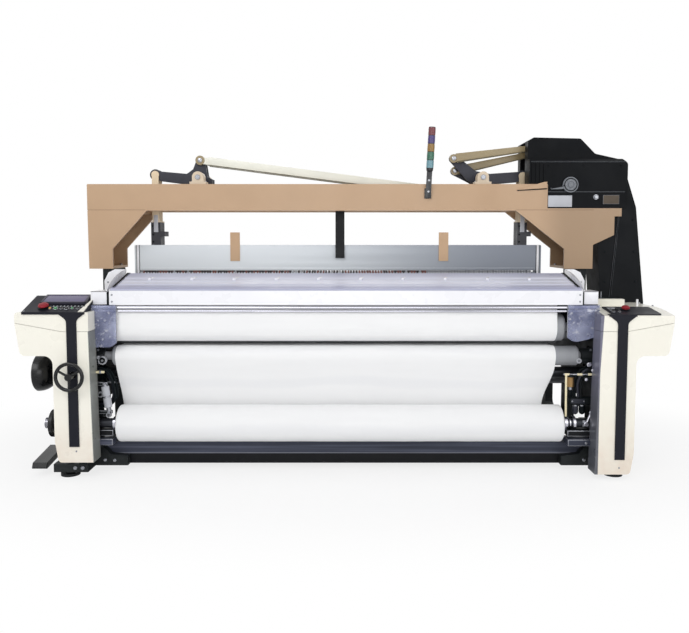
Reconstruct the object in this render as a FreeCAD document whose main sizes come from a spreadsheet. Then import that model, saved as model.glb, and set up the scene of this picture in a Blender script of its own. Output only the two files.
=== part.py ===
"""Power loom: wide shuttleless loom with overhead gantry, dobby and bell-crank heald lifting.

Frame: X to the right along the cloth width, Y from the operator to the back, Z up from the floor.
The feature that takes the most skill is the overhead lifting motion: bell cranks on lever shafts,
pull rods, lifting links and the heald frames that they raise (see "Shedding motion").
"""
import FreeCAD, Part

import math
import os

import Sketcher

V = FreeCAD.Vector

# ---------------------------------------------------------------- driving dimensions (mm, degrees)
SIZES = {
    # side frames: two cast plates in the Y-Z plane
    "frame_inner": 1312, "frame_plate": 48, "frame_front": -800, "frame_back": 780,
    "frame_base": 30, "frame_arch": 80, "tower_back": -520, "shoulder_back": -450,
    "shoulder_top": 640, "post_front": -372, "post_back": -114, "post_top": 1055,
    "deck_front_top": 700, "deck_back_top": 640, "rear_tower_front": 640, "rear_tower_top": 960,
    "frame_chin": 758, "neck_top": 740, "deck_drop": 80, "foot_run": 220, "foot_ramp": 40,
    "frame_round": 18, "frame_window_radius": 40, "window_front": -540, "window_front_back": -220,
    "window_front_low": 130, "window_front_high": 350, "window_mid": -124,
    "window_mid_back": 206, "window_mid_low": 150, "window_mid_high": 460,
    "bearing_gap": 0.05, "boss_wall": 20, "press_boss_wall": 10, "boss_height": 10,
    "gusset_height": 180, "gusset_step": 80, "gusset_reach": 170, "gusset_low": 90,
    "gusset_thick": 40, "cut_margin": 5,
    # feet
    "foot_reach_left": 128, "foot_room": 13, "foot_length": 115, "foot_top": 72,
    "foot_stem_over": 18, "foot_disc_radius": 48,
    "foot_disc_height": 14, "foot_stem_radius": 12, "foot_nut_radius": 22,
    # rails between the frames
    "rail_front": -650, "rail_depth": 90, "rail_bottom": 26, "rail_height": 120,
    "rail_wall": 8, "rail_lip": 14, "middle_rail_y": 20, "middle_rail_z": 70,
    "middle_rail_depth": 90, "middle_rail_height": 120,
    # cloth path
    "cloth_left_in": 118, "cloth_right_in": 212, "web_thick": 1.5, "web_gap": 0.3,
    "nose_y": -680, "nose_z": 925, "nose_radius": 22, "breast_front": -700, "breast_back": -590,
    "breast_bottom": 845, "nose_share": 0.9, "nose_lap": 1, "fell_y": -438,
    "roller_left_in": 97, "roller_right_in": 167, "journal_radius": 22,
    "take_up_y": -642, "take_up_z": 760, "take_up_radius": 73,
    "press_radius": 42, "nip_angle": 30,
    "guide_y": -648, "guide_z": 608, "guide_radius": 52, "guide_right_in": 86, "roller_round": 8,
    "roll_y": -683, "roll_z": 256, "roll_radius": 96, "roll_left_in": 133, "roll_right_in": 179,
    "roll_shaft_radius": 25, "end_wheel_x_out": 255, "end_wheel_radius": 80, "end_wheel_width": 30,
    "knob_radius": 30, "knob_end_out": 318,
    # fascia, guide bars and splash cover
    "fascia_left_in": 103, "fascia_right_in": 88, "fascia_front": -728, "fascia_sheet": 4,
    "fascia_bottom": 883, "fascia_top": 957, "end_plate": 3,
    "bar_y": -720, "bar_z": 869, "bar_radius": 8, "thin_bar_z": 850, "thin_bar_radius": 6,
    "bar_reach_in": 16, "bar_stay_x_in": 62, "bar_stay_width": 24,
    "hinge_y": -714, "hinge_z": 959, "hinge_pin_radius": 4, "hinge_curl_radius": 8,
    "splash_left_in": 108, "splash_right_in": 93, "splash_length": 292, "splash_tilt": 13,
    "splash_sheet": 4, "splash_flange": 22, "splash_hem": 14,
    # side guards
    "guard_front": -727, "guard_sheet": 4, "guard_bottom": 640, "guard_top": 838,
    "guard_left_edge_in": 106, "guard_right_edge_in": 132,
    # column covers
    "cover_front": -830, "cover_wall": 5, "cover_back": -385, "column_back": -600,
    "cover_inner_in": 29, "column_width": 183, "overhang_reach": 186, "overhang_bottom": 635,
    "seam_inner_z": 757, "seam_outer_z": 800, "seam_gap": 2, "seam_knee_in": 51,
    "notch_front": -738, "notch_back": -584, "notch_gap": 2,
    "overhang_lean": 24, "cover_shoulder_radius": 45, "cover_corner_radius": 28,
    "inner_wall_depth": 100, "left_cover_bottom": 90, "right_cover_bottom": 28,
    "left_cover_top": 855, "right_cover_top": 866, "right_cover_front_top": 838,
    "right_slope_end": -640, "column_toe_in": 18, "column_toe_rise": 110, "inner_toe_out": 13,
    "standoff_radius": 9, "standoff_low": 200, "standoff_high": 700,
    # consoles
    "console_left_out": 301, "console_right_in": 12, "console_lip": 6, "console_drop": 10,
    "console_back": -640, "console_depth_top": 10, "console_tilt": 20, "console_start": 857,
    "trim_centre_out": 54, "trim_right_centre_out": 81, "trim_width": 50, "trim_bottom": 172,
    "trim_right_bottom": 105, "trim_flare": 44, "trim_flare_drop": 34,
    "right_panel_left_out": 33, "right_panel_margin": 60, "right_panel_depth": 160,
    "right_panel_thick": 5, "right_panel_offset": 12,
    "screen_width": 234, "screen_length": 96, "screen_thick": 12, "screen_x_out": 124,
    "screen_start": 92,
    "stop_cap_radius": 19, "stop_cap_height": 16, "stop_stem_radius": 9, "stop_stem": 16,
    "stop_lift": 7, "button_radius": 9, "button_height": 14, "button_lift": 8, "button_gap": 0.08,
    "stop_x_out": 208, "stop_s": 52, "start_x_out": 144, "start_s": 40, "jog_x_out": 88,
    "right_stop_x_out": 130, "right_stop_s": 100, "right_button_x_out": 84, "right_button_s": 100,
    # handwheel
    "handwheel_x_out": 53, "handwheel_z": 538, "handwheel_y": -884, "handwheel_radius": 66,
    "handwheel_rim": 9, "handwheel_hub": 18, "handwheel_face": -900, "handwheel_spoke": 6,
    "handwheel_shaft": 12, "handwheel_boss": 34, "handwheel_depth": 90, "spoke_count": 3,
    # main shaft with its hand disc
    "main_y": -500, "main_z": 492, "main_radius": 30, "disc_radius": 104, "disc_tip_out": 388,
    "disc_dome": 30, "disc_rim": 12, "disc_hub_radius": 42, "disc_hub_length": 40,
    "main_end_room": 26,
    # pedal
    "pedal_pivot_y": -560, "pedal_pivot_z": 85, "pedal_pin_radius": 9, "pedal_hub": 17,
    "pedal_left_out": 293, "pedal_right_out": 220, "pedal_front": -790, "pedal_top": 72,
    "pedal_nose": 26, "pedal_lip_run": 12, "pedal_lip_back": 14, "pedal_lip_drop": 6,
    "pedal_round": 5,
    # lids of the columns and the cabinet behind the right console
    "lid_inside_under": 40, "lid_skirt": 60, "lid_corner": 12, "lid_round": 18,
    "cabinet_width": 215, "cabinet_setback": 60, "cabinet_back_in": 70, "cabinet_height": 34,
    # sley and reed
    "rocking_y": -330, "rocking_z": 430, "rocking_radius": 35, "sword_thick": 20,
    "sword_width": 60, "sley_left_in": 112, "sley_right_in": 186, "sley_front": -400,
    "sley_back": -350, "sley_bottom": 850, "sley_top": 902, "sword_inset": 60, "sword_mid": 400,
    "reed_y": -375, "reed_thick": 8, "reed_bottom": 880, "reed_top": 990, "reed_band": 24,
    "reed_dents": 120, "reed_dent_share": 0.62, "reed_seat_gap": 0.3,
    # warp
    "warp_left_in": 132, "warp_right_in": 226, "beam_y": 500, "beam_z": 440, "flange_radius": 400,
    "flange_thick": 16, "barrel_radius": 85, "yarn_radius": 330, "beam_shaft_radius": 30,
    "flange_holes": 6, "flange_hole_radius": 42, "flange_hole_pitch": 210, "flange_rim": 10,
    "rest_y": 720, "rest_radius": 60, "shed_y": -316,
    # heald frames and their guides
    "heald_left_in": 98, "heald_right_in": 175, "heald_front_y": -250, "heald_pitch": 24,
    "heald_thick": 10, "heald_bottom": 700, "heald_top": 1187, "heald_rail_low": 820,
    "heald_rail_high": 1054, "heald_strut": 24, "carrier_height": 12, "carrier_thick": 3,
    "carrier_offset": 24, "heald_round": 6, "guide_slot_gap": 0.5, "guide_overlap": 10,
    "guide_end_gap": 2, "guide_low": 700, "guide_high": 1000, "guide_rim": 17,
    "tab_thick": 6, "tab_width": 55, "tab_left_x": -632, "tab_right_x": 572, "tab_bottom": 1095,
    "tab_top": 1260, "centre_guide_x": -26, "centre_guide_width": 52, "centre_guide_thick": 12,
    "centre_guide_gap": 8, "centre_guide_bottom": 1112, "centre_guide_top_over": 50,
    # gantry
    "gantry_front": -380, "front_beam_back": -300, "rear_beam_front": -150, "gantry_back": -106,
    "bracket_height": 325, "beam_top_over": 147, "beam_left_out": 124, "beam_right_in": 179,
    "beam_round": 6, "bracket_plate": 14, "bracket_wall": 28, "link_room": 60,
    "left_leg_outer_out": 121, "left_leg_inner_in": 12, "left_slant_low": 1166,
    "left_slant_top_in": 206, "right_leg_inner_in": 80, "right_leg_outer_out": 80,
    "right_slant_top_in": 354, "shelf_top_over": 13, "shelf_bottom_under": 32, "shelf_right_out": 236,
    "ear_right_out": 197, "ear_low_under": 136, "ear_heel_under": 192, "ear_back": -345,
    # shedding motion
    "left_hub_x_in": 493, "right_hub_x_in": 538, "hub_z_over": 186, "lever_shaft_radius": 14,
    "block_radius": 32, "block_foot": 92, "block_foot_height": 14, "block_inset": 8,
    "crank_belly_x": 20, "crank_belly": 8, "crank_tail_drop": 2, "crank_tail_rise": 12,
    "crank_neck_x": 52, "crank_neck_rise": 26, "crank_shoulder_x": 88, "crank_round": 10,
    "crank_thick": 14, "hub_radius": 34, "hub_length": 22, "eye_radius": 25, "arm_half": 30,
    "left_arm_x": -269, "left_arm_z": 24, "left_top_x": -8, "left_top_z": 105,
    "right_arm_x": 250, "right_arm_z": 17, "right_low_x": 8, "right_low_z": -100,
    "right_top_x": -148, "right_top_z": 116, "right_top_b_x": -132, "right_top_b_z": 50,
    "crank_tail": 60,
    "slot_clearance": 1, "slot_inward": 2, "slot_outward": 10,
    "link_pin_radius": 8, "link_thick": 8, "link_width": 39, "link_eye": 22,
    "clamp_width": 56, "clamp_height": 138, "clamp_thick": 14, "hook_reach": 24,
    "hook_height": 28, "hook_low": 50, "hook_high": 126,
    "rod_thick": 16, "rod_depth": 38, "rod_eye": 24, "rod_pin_radius": 9, "rod_side_gap": 1,
    "open_eye_clearance": 5, "dobby_end_x_in": 211, "dobby_end_z_over": 364, "dobby_end_b_z_over": 336,
    "rod_tail_depth": 24, "rod_clamp_share": 0.22,
    # dobby housing and belt cover
    "dobby_left_in": 282, "dobby_back": -110, "dobby_shoulder_z_over": 288, "dobby_setback": 45,
    "dobby_left_top_over": 392, "dobby_peak_over": 410, "dobby_peak_left_in": 250,
    "dobby_peak_right_out": 13, "dobby_peak_right_z_over": 404, "dobby_step_x_out": 96,
    "dobby_step_z_over": 320, "dobby_end_top_x_out": 240, "dobby_end_top_z_over": 288,
    "dobby_right_out": 265, "dobby_right_top_over": 260, "dobby_round": 20,
    "pocket_end_in": 122, "pocket_high_over": 388, "pocket_side": 12,
    "rib_count": 4, "rib_pitch": 22, "rib_width": 8, "rib_height": 5, "rib_start_in": 270,
    "cap_x_in": 55, "cap_z_over": 143, "cap_radius": 44, "cap_height": 9, "cap_lever": 108,
    "cap_lever_width": 9,
    "belt_front": -340, "belt_back": -130, "belt_top_right_out": 332, "belt_top_right_z_over": 20,
    "belt_reach_out": 388, "belt_waist_z": 866, "belt_bottom": 570, "belt_inner_out": 143,
    "belt_neck_x_out": 121, "belt_neck_z_under": 230, "belt_head_left_out": 118, "belt_round": 16,
    "belt_stay_y": -235, "belt_stay_z": 700, "belt_stay_radius": 16, "belt_stud_radius": 9,
    "belt_stud_height": 5,
    # signal tower
    "tower_x": 464, "tower_tilt": 3, "tower_pole_radius": 9, "tower_base_z_over": 70,
    "tower_top_over": 458, "lens_radius": 19, "lens_height": 45, "lens_groove": 3, "lens_count": 5,
    "tower_plate_width": 84, "tower_plate_height": 60, "tower_plate_thick": 6,
    "tower_seat": 24, "tower_sink": 2,
    # main motor
    "motor_y": -10, "motor_z": 590, "motor_flange_radius": 95, "motor_flange_thick": 12,
    "motor_radius": 82, "motor_length": 190, "motor_fin_depth": 9, "motor_fin_count": 9,
    "motor_cowl_length": 42,
}


class Size:
    """A size: its value in millimetres or degrees, and the expression that gives it."""

    def __init__(self, value, text):
        self.value = float(value)
        self.text = text

    def __add__(self, other):
        other = size(other)
        return Size(self.value + other.value, f"({self.text} + {other.text})")

    def __sub__(self, other):
        other = size(other)
        return Size(self.value - other.value, f"({self.text} - {other.text})")

    def __mul__(self, other):
        other = size(other)
        return Size(self.value * other.value, f"({self.text} * {other.text})")

    def __truediv__(self, other):
        other = size(other)
        return Size(self.value / other.value, f"({self.text} / {other.text})")

    def __neg__(self):
        return Size(-self.value, f"(0 - {self.text})")

    def __radd__(self, other):
        return size(other) + self

    def __rsub__(self, other):
        return size(other) - self

    def __rmul__(self, other):
        return size(other) * self


def size(number):
    """Return number itself if it is a Size, else a Size that holds a plain number."""
    return number if isinstance(number, Size) else Size(number, repr(number))


def cosd(angle):
    return Size(math.cos(math.radians(angle.value)), f"cos({angle.text} * 1deg)")


def sind(angle):
    return Size(math.sin(math.radians(angle.value)), f"sin({angle.text} * 1deg)")


def direction(run, rise):
    """Angle in degrees of a line that runs and rises by the given sizes."""
    run, rise = size(run), size(rise)
    turn = 0 if run.value > 0 else 180
    value = math.degrees(math.atan(rise.value / run.value)) + turn
    return Size(value, f"(atan({rise.text} / {run.text}) / 1deg + {turn})")


def distance(run, rise):
    run, rise = size(run), size(rise)
    return Size(math.hypot(run.value, rise.value),
                f"sqrt({run.text} * {run.text} + {rise.text} * {rise.text})")


doc = FreeCAD.newDocument("PowerLoom")
sheet = doc.addObject("Spreadsheet::Sheet", "Sizes")


class SheetSizes:
    """The sheet's cells by name."""


S = SheetSizes()
for row, (alias, number) in enumerate(SIZES.items(), start=1):
    sheet.set(f"A{row}", alias)
    sheet.set(f"B{row}", str(number))
    sheet.setAlias(f"B{row}", alias)
    setattr(S, alias, Size(number, f"Sizes.{alias}"))
doc.recompute()

LEFT, RIGHT = -1, 1
NODES = {}

# Places across the loom: each has a size ending in _in or _out, its distance inside or outside
# the inner face of the side frame on its own side.
LEFT_PLACES = (
    "cloth_left", "roller_left", "roll_left", "end_wheel_x", "knob_end", "fascia_left",
    "splash_left", "guard_left_edge", "console_left", "console_right", "screen_x", "stop_x",
    "start_x", "jog_x", "handwheel_x", "disc_tip", "pedal_left", "pedal_right", "sley_left",
    "warp_left", "heald_left", "beam_left", "left_leg_outer", "left_leg_inner", "left_slant_top",
    "left_hub_x",
)
RIGHT_PLACES = (
    "cloth_right", "roller_right", "guide_right", "roll_right", "fascia_right", "splash_right",
    "guard_right_edge", "bar_reach", "bar_stay_x", "cover_inner", "trim_centre",
    "trim_right_centre", "right_panel_left", "right_stop_x", "right_button_x", "sley_right",
    "warp_right", "heald_right", "beam_right", "right_leg_inner", "right_leg_outer",
    "right_slant_top", "shelf_right", "ear_right", "right_hub_x", "dobby_left", "dobby_peak_left",
    "dobby_peak_right", "dobby_step_x", "dobby_end_top_x", "dobby_right", "pocket_end",
    "rib_start", "cap_x", "dobby_end_x", "belt_top_right", "belt_reach", "belt_inner",
    "belt_neck_x", "belt_head_left",
)
# Heights of the overhead group: each has a size ending in _over or _under, from the beams' underside.
OVERHEAD = (
    "hub_z", "shelf_top", "shelf_bottom", "ear_low", "ear_heel", "centre_guide_top",
    "tower_base_z", "tower_top", "dobby_shoulder_z", "dobby_left_top", "dobby_peak",
    "dobby_peak_right_z", "dobby_step_z", "dobby_end_top_z", "dobby_right_top", "pocket_high",
    "cap_z", "dobby_end_z", "dobby_end_b_z", "belt_top_right_z", "belt_neck_z", "beam_top",
)


def offset(name, further, nearer):
    """Signed distance of a place from its datum, out of the size that gives it."""
    inward = getattr(S, f"{name}_{nearer}", None)
    return getattr(S, f"{name}_{further}") if inward is None else -inward


for side, names in ((LEFT, LEFT_PLACES), (RIGHT, RIGHT_PLACES)):
    for name in names:
        setattr(S, name, side * (S.frame_inner + offset(name, "out", "in")))
S.beam_bottom = S.post_top + S.bracket_height
for name in OVERHEAD:
    setattr(S, name, S.beam_bottom + offset(name, "over", "under"))

frame_outer = S.frame_inner + S.frame_plate
S.cover_outer = S.cover_inner + S.column_width
S.overhang_outer = S.cover_outer + S.overhang_reach
S.overhang_foot = S.overhang_outer - S.overhang_lean
S.seam_knee = S.cover_outer - S.seam_knee_in
S.column_toe = S.cover_outer - S.column_toe_in
S.column_inner_toe = S.cover_inner - S.inner_toe_out
S.right_panel_right = S.overhang_outer - S.right_panel_margin
S.main_right = S.cover_outer - S.main_end_room
S.foot_reach_right = S.column_toe - S.cover_wall - S.foot_room - frame_outer


# ---------------------------------------------------------------- building blocks
def node(name, item):
    """Name a finished sub-part."""
    item.Label = name
    NODES[name] = item
    return item


def place(item, x=0, y=0, z=0):
    for letter, number in (("x", x), ("y", y), ("z", z)):
        item.setExpression(f"Placement.Base.{letter}", size(number).text)
    return item


def bind(item, **sizes):
    for name, number in sizes.items():
        item.setExpression(name, size(number).text)
    return item


def box(name, x, y, z):
    """Box between the two sizes given on each axis."""
    item = doc.addObject("Part::Box", name)
    bind(item, Length=x[1] - x[0], Width=y[1] - y[0], Height=z[1] - z[0])
    return place(item, x[0], y[0], z[0])


TURN_FROM_Z = {
    "X": FreeCAD.Rotation(V(0, 1, 0), 90),
    "Y": FreeCAD.Rotation(V(1, 0, 0), -90),
    "Z": FreeCAD.Rotation(),
}


def rod(name, axis, centre, ends, radius):
    """Cylinder along an axis; centre holds its two other coordinates in X, Y, Z order."""
    item = doc.addObject("Part::Cylinder", name)
    item.Placement = FreeCAD.Placement(V(), TURN_FROM_Z[axis])
    bind(item, Radius=radius, Height=ends[1] - ends[0])
    spot = {"X": (ends[0], centre[0], centre[1]), "Y": (centre[0], ends[0], centre[1]),
            "Z": (centre[0], centre[1], ends[0])}[axis]
    return place(item, *spot)


def draw(sketch, points):
    """Draw a closed outline and tie each corner to its two sizes."""
    first = sketch.GeometryCount
    count = len(points)
    corners = [V(size(u).value, size(v).value, 0) for u, v in points]
    for index in range(count):
        sketch.addGeometry(Part.LineSegment(corners[index], corners[(index + 1) % count]), False)
    for index in range(count):
        after = first + (index + 1) % count
        sketch.addConstraint(Sketcher.Constraint("Coincident", first + index, 2, after, 1))
    for index, (u, v) in enumerate(points):
        for kind, number in (("DistanceX", u), ("DistanceY", v)):
            number = size(number)
            rule = Sketcher.Constraint(kind, -1, 1, first + index, 1, number.value)
            spot = sketch.addConstraint(rule)
            sketch.setExpression(f"Constraints[{spot}]", number.text)


def body_with_sketch(name, plane, outlines, lift=0):
    """Body holding one sketch on an origin plane, lifted along the plane's normal."""
    body = doc.addObject("PartDesign::Body", name)
    sketch = body.newObject("Sketcher::SketchObject", name + "_sketch")
    base = [item for item in body.Origin.OriginFeatures if item.Role == plane + "_Plane"][0]
    sketch.AttachmentSupport = [(base, "")]
    sketch.MapMode = "FlatFace"
    sketch.setExpression("AttachmentOffset.Base.z", size(lift).text)
    for outline in outlines:
        draw(sketch, outline)
    return body, sketch


# normal axis of each plane, and the sign of the sketch normal along it
NORMALS = {"XY": (2, 1), "XZ": (1, -1), "YZ": (0, 1)}
IN_PLANE = {"XY": (0, 1), "XZ": (0, 2), "YZ": (1, 2)}


def prism(name, plane, outline, ends, holes=(), rounds=()):
    """Pad an outline between two sizes on the plane's normal axis.

    rounds holds (corners, radius) pairs; corners are places in the outline.
    """
    axis, sign = NORMALS[plane]
    lift = ends[0] if sign > 0 else -size(ends[1])
    body, sketch = body_with_sketch(name, plane, [outline, *holes], lift)
    pad = body.newObject("PartDesign::Pad", name + "_pad")
    pad.Profile = sketch
    pad.setExpression("Length", (size(ends[1]) - ends[0]).text)
    sketch.Visibility = False
    for number, (corners, radius) in enumerate(rounds):
        doc.recompute()
        tip = body.Tip
        spots = [[size(c).value for c in outline[corner]] for corner in corners]
        edges = matching_edges(tip.Shape, plane, spots)
        fillet = body.newObject("PartDesign::Fillet", f"{name}_round{number}")
        fillet.Base = (tip, edges)
        fillet.setExpression("Radius", size(radius).text)
    return body


def matching_edges(shape, plane, spots):
    """Names of the edges that stand square to the plane at the given places."""
    found = []
    first, second = IN_PLANE[plane]
    for index, edge in enumerate(shape.Edges, start=1):
        ends = [vertex.Point for vertex in edge.Vertexes]
        if len(ends) != 2:
            continue
        for u, v in spots:
            if all(abs(p[first] - u) < 0.01 and abs(p[second] - v) < 0.01 for p in ends):
                found.append(f"Edge{index}")
    return found


TURN_FROM_X = {
    "X": FreeCAD.Rotation(),
    "Y": FreeCAD.Rotation(V(0, 0, 1), 90),
    "Z": FreeCAD.Rotation(V(0, 1, 0), -90),
}


def turned(name, axis, centre, profile):
    """Revolve (place along the axis, radius) corners about an axis."""
    body, sketch = body_with_sketch(name, "XY", [profile])
    spin = body.newObject("PartDesign::Revolution", name + "_turn")
    spin.Profile = sketch
    spin.ReferenceAxis = (sketch, ["H_Axis"])
    spin.Angle = 360
    sketch.Visibility = False
    body.Placement = FreeCAD.Placement(V(), TURN_FROM_X[axis])
    spot = {"X": (0, centre[0], centre[1]), "Y": (centre[0], 0, centre[1]),
            "Z": (centre[0], centre[1], 0)}[axis]
    return place(body, *spot)


def fuse(name, items):
    result = doc.addObject("Part::MultiFuse", name)
    result.Shapes = items
    result.Refine = True
    return result


def group(name, items):
    result = doc.addObject("Part::Compound", name)
    result.Links = items
    return result


def cut(name, base, tools):
    result = doc.addObject("Part::Cut", name)
    result.Base = base
    result.Tool = tools[0] if len(tools) == 1 else fuse(name + "_tools", tools)
    result.Refine = True
    return result


def common(name, first, second):
    result = doc.addObject("Part::Common", name)
    result.Base = first
    result.Tool = second
    return result


def tilted(item, angle, x=0, y=0, z=0, axis=V(1, 0, 0)):
    """Turn a piece about X (or the given axis) by an angle and put its origin at x, y, z."""
    item.Placement = FreeCAD.Placement(V(), FreeCAD.Rotation(axis, 10))
    item.setExpression("Placement.Rotation.Angle", size(angle).text)
    return place(item, x, y, z)


def span(side, near, far):
    """X range from near to far on one side of the centre plane."""
    return (size(near), size(far)) if side == RIGHT else (-size(far), -size(near))


def solid(name, shape):
    """A sub-part whose shape is made directly, for cloth and yarn."""
    item = doc.addObject("Part::Feature", name)
    item.Shape = shape
    item.Placement = FreeCAD.Placement()
    return item


# ---------------------------------------------------------------- sizes shared by several pieces
nip_reach = S.take_up_radius + S.press_radius + S.web_thick + 2 * S.web_gap
press_y = S.take_up_y + nip_reach * cosd(S.nip_angle)
press_z = S.take_up_z - nip_reach * sind(S.nip_angle)
warp_z = S.nose_z + S.nose_radius + S.web_gap
rest_z = warp_z - S.web_gap - S.rest_radius
left_tower_top = S.left_cover_top - S.cover_wall
right_tower_top = S.right_cover_top - S.cover_wall


# ---------------------------------------------------------------- side frames
def side_frame(side, name, tower_top):
    """Cast side frame: towers for the breast beam, gantry and back rest, with bearing bosses."""
    x = span(side, S.frame_inner, frame_outer)
    outline = [
        (S.frame_front, S.frame_base), (S.frame_front, S.frame_chin),
        (S.right_slope_end, tower_top), (S.tower_back, tower_top),
        (S.shoulder_back, S.neck_top), (S.shoulder_back, S.shoulder_top),
        (S.post_front, S.shoulder_top), (S.post_front, S.post_top),
        (S.post_back, S.post_top), (S.post_back, S.deck_front_top),
        (S.rear_tower_front - S.deck_drop, S.deck_back_top), (S.rear_tower_front, S.rear_tower_top),
        (S.frame_back, S.rear_tower_top), (S.frame_back, S.frame_base),
        (S.frame_back - S.foot_run, S.frame_base),
        (S.frame_back - S.foot_run - S.foot_ramp, S.frame_arch),
        (S.frame_front + S.foot_run + S.foot_ramp, S.frame_arch),
        (S.frame_front + S.foot_run, S.frame_base),
    ]
    rounds = [([2, 3, 5, 8, 11, 12], S.frame_round), ([6, 9], S.frame_window_radius)]
    plate = prism(name + "_plate", "YZ", outline, x, rounds=rounds)
    bearings = [
        (S.take_up_y, S.take_up_z, S.journal_radius), (press_y, press_z, S.journal_radius),
        (S.guide_y, S.guide_z, S.journal_radius), (S.roll_y, S.roll_z, S.roll_shaft_radius),
        (S.main_y, S.main_z, S.main_radius), (S.rocking_y, S.rocking_z, S.rocking_radius),
        (S.beam_y, S.beam_z, S.beam_shaft_radius), (S.rest_y, rest_z, S.journal_radius),
    ]
    boss_x = span(side, S.frame_inner - S.boss_height, frame_outer)
    pieces = [plate]
    bores = []
    for number, (y, z, radius) in enumerate(bearings):
        wall = S.press_boss_wall if z is press_z else S.boss_wall
        pieces.append(rod(f"{name}_boss{number}", "X", (y, z), boss_x, radius + wall))
        bore_x = span(side, S.frame_inner - 2 * S.boss_height, frame_outer + S.boss_height)
        bores.append(rod(f"{name}_bore{number}", "X", (y, z), bore_x, radius + S.bearing_gap))
    for number, y in enumerate((S.frame_front, S.frame_back - S.foot_length)):
        foot_x = span(side, S.frame_inner, frame_outer + foot_reach(side))
        foot_y = (y, y + S.foot_length)
        pieces.append(box(f"{name}_foot{number}", foot_x, foot_y, (S.frame_base, S.foot_top)))
        stem_x, stem_y = foot_spot(side, number)
        bores.append(rod(f"{name}_stem{number}", "Z", (stem_x, stem_y),
                         (S.frame_base - S.cut_margin, S.foot_top + S.cut_margin),
                         S.foot_stem_radius + S.bearing_gap))
    gusset = [(S.frame_inner, S.frame_base), (S.frame_inner, S.gusset_height),
              (S.frame_inner - S.gusset_step, S.gusset_low),
              (S.frame_inner - S.gusset_reach, S.frame_arch),
              (S.frame_inner - S.gusset_reach, S.frame_base)]
    pieces.append(prism(name + "_gusset", "XZ", sided(side, gusset),
                        (S.rail_front - S.gusset_thick, S.rail_front)))
    pieces.append(heald_guide(side, name))
    standoff_x = side * (S.frame_inner + S.frame_plate / 2)
    for number, z in enumerate((S.standoff_low, S.standoff_high)):
        ends = (S.cover_front + S.cover_wall, S.frame_front)
        pieces.append(rod(f"{name}_standoff{number}", "Y", (standoff_x, z), ends, S.standoff_radius))
    windows = [
        frame_window(name + "_window0", x, (S.window_front, S.window_front_back),
                     (S.window_front_low, S.window_front_high)),
        frame_window(name + "_window1", x, (S.window_mid, S.window_mid_back),
                     (S.window_mid_low, S.window_mid_high)),
    ]
    if side == LEFT:
        boss_y = (S.frame_front, S.frame_front + S.handwheel_depth)
        boss_z = (S.handwheel_z - S.handwheel_boss, S.handwheel_z + S.handwheel_boss)
        boss_range = (S.handwheel_x - S.handwheel_boss, -S.frame_inner)
        pieces.append(box(name + "_wheel_boss", boss_range, boss_y, boss_z))
        bores.append(rod(name + "_wheel_bore", "Y", (S.handwheel_x, S.handwheel_z),
                         (S.frame_front - S.cut_margin,
                          S.frame_front + S.handwheel_depth + S.cut_margin),
                         S.handwheel_shaft + S.bearing_gap))
        pieces.append(rod(name + "_pedal_pin", "X", (S.pedal_pivot_y, S.pedal_pivot_z),
                          (S.pedal_left - 8, -frame_outer), S.pedal_pin_radius))
        pieces.append(rod(name + "_pedal_collar", "X", (S.pedal_pivot_y, S.pedal_pivot_z),
                          (S.pedal_right + 0.3, -frame_outer), S.pedal_hub))
    else:
        pieces.append(rod(name + "_belt_stay", "X", (S.belt_stay_y, S.belt_stay_z),
                          (frame_outer, S.belt_inner), S.belt_stay_radius))
    return node(name, cut(name, fuse(name + "_casting", pieces), bores + windows))


def foot_reach(side):
    """How far the feet of one side stand out from their frame."""
    return S.foot_reach_left if side == LEFT else S.foot_reach_right


def foot_spot(side, number):
    """Centre of a levelling foot: number 0 at the front, 1 at the back."""
    y = S.frame_front + S.foot_length / 2 if number == 0 else S.frame_back - S.foot_length / 2
    return side * (frame_outer + foot_reach(side) / 2), y


def frame_window(name, x, y, z):
    """Rounded window through a side frame."""
    outline = [(y[0], z[0]), (y[1], z[0]), (y[1], z[1]), (y[0], z[1])]
    ends = (x[0] - S.cut_margin, x[1] + S.cut_margin)
    return prism(name, "YZ", outline, ends, rounds=[([0, 1, 2, 3], S.frame_window_radius)])


def heald_guide(side, name):
    """Grooved guide bracket that the heald frames' end struts slide in."""
    half_slot = S.heald_thick / 2 + S.guide_slot_gap
    front = S.heald_front_y - half_slot - S.guide_rim
    back = S.heald_front_y + 3 * S.heald_pitch + half_slot + S.guide_rim
    heald_end = -S.heald_left if side == LEFT else S.heald_right
    face = heald_end - S.guide_overlap
    root = heald_end + S.guide_end_gap
    points = [(side * S.frame_inner, front), (side * face, front)]
    for number in range(4):
        y = S.heald_front_y + number * S.heald_pitch
        points += [(side * face, y - half_slot), (side * root, y - half_slot),
                   (side * root, y + half_slot), (side * face, y + half_slot)]
    points += [(side * face, back), (side * S.frame_inner, back)]
    return prism(name + "_guide", "XY", points, (S.guide_low, S.guide_high))


def levelling_feet():
    """Four screw feet: disc, nut and stem up into each frame foot."""
    feet = []
    for side in (LEFT, RIGHT):
        for number in (0, 1):
            spot = foot_spot(side, number)
            profile = [
                (0, 0), (0, S.foot_disc_radius), (S.foot_disc_height, S.foot_disc_radius),
                (S.foot_disc_height, S.foot_nut_radius), (S.frame_base, S.foot_nut_radius),
                (S.frame_base, S.foot_stem_radius),
                (S.foot_top + S.foot_stem_over, S.foot_stem_radius), (S.foot_top + S.foot_stem_over, 0),
            ]
            feet.append(turned(f"foot_{side + 1}{number}", "Z", spot, profile))
    node("levelling_feet", group("levelling_feet", feet))


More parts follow.
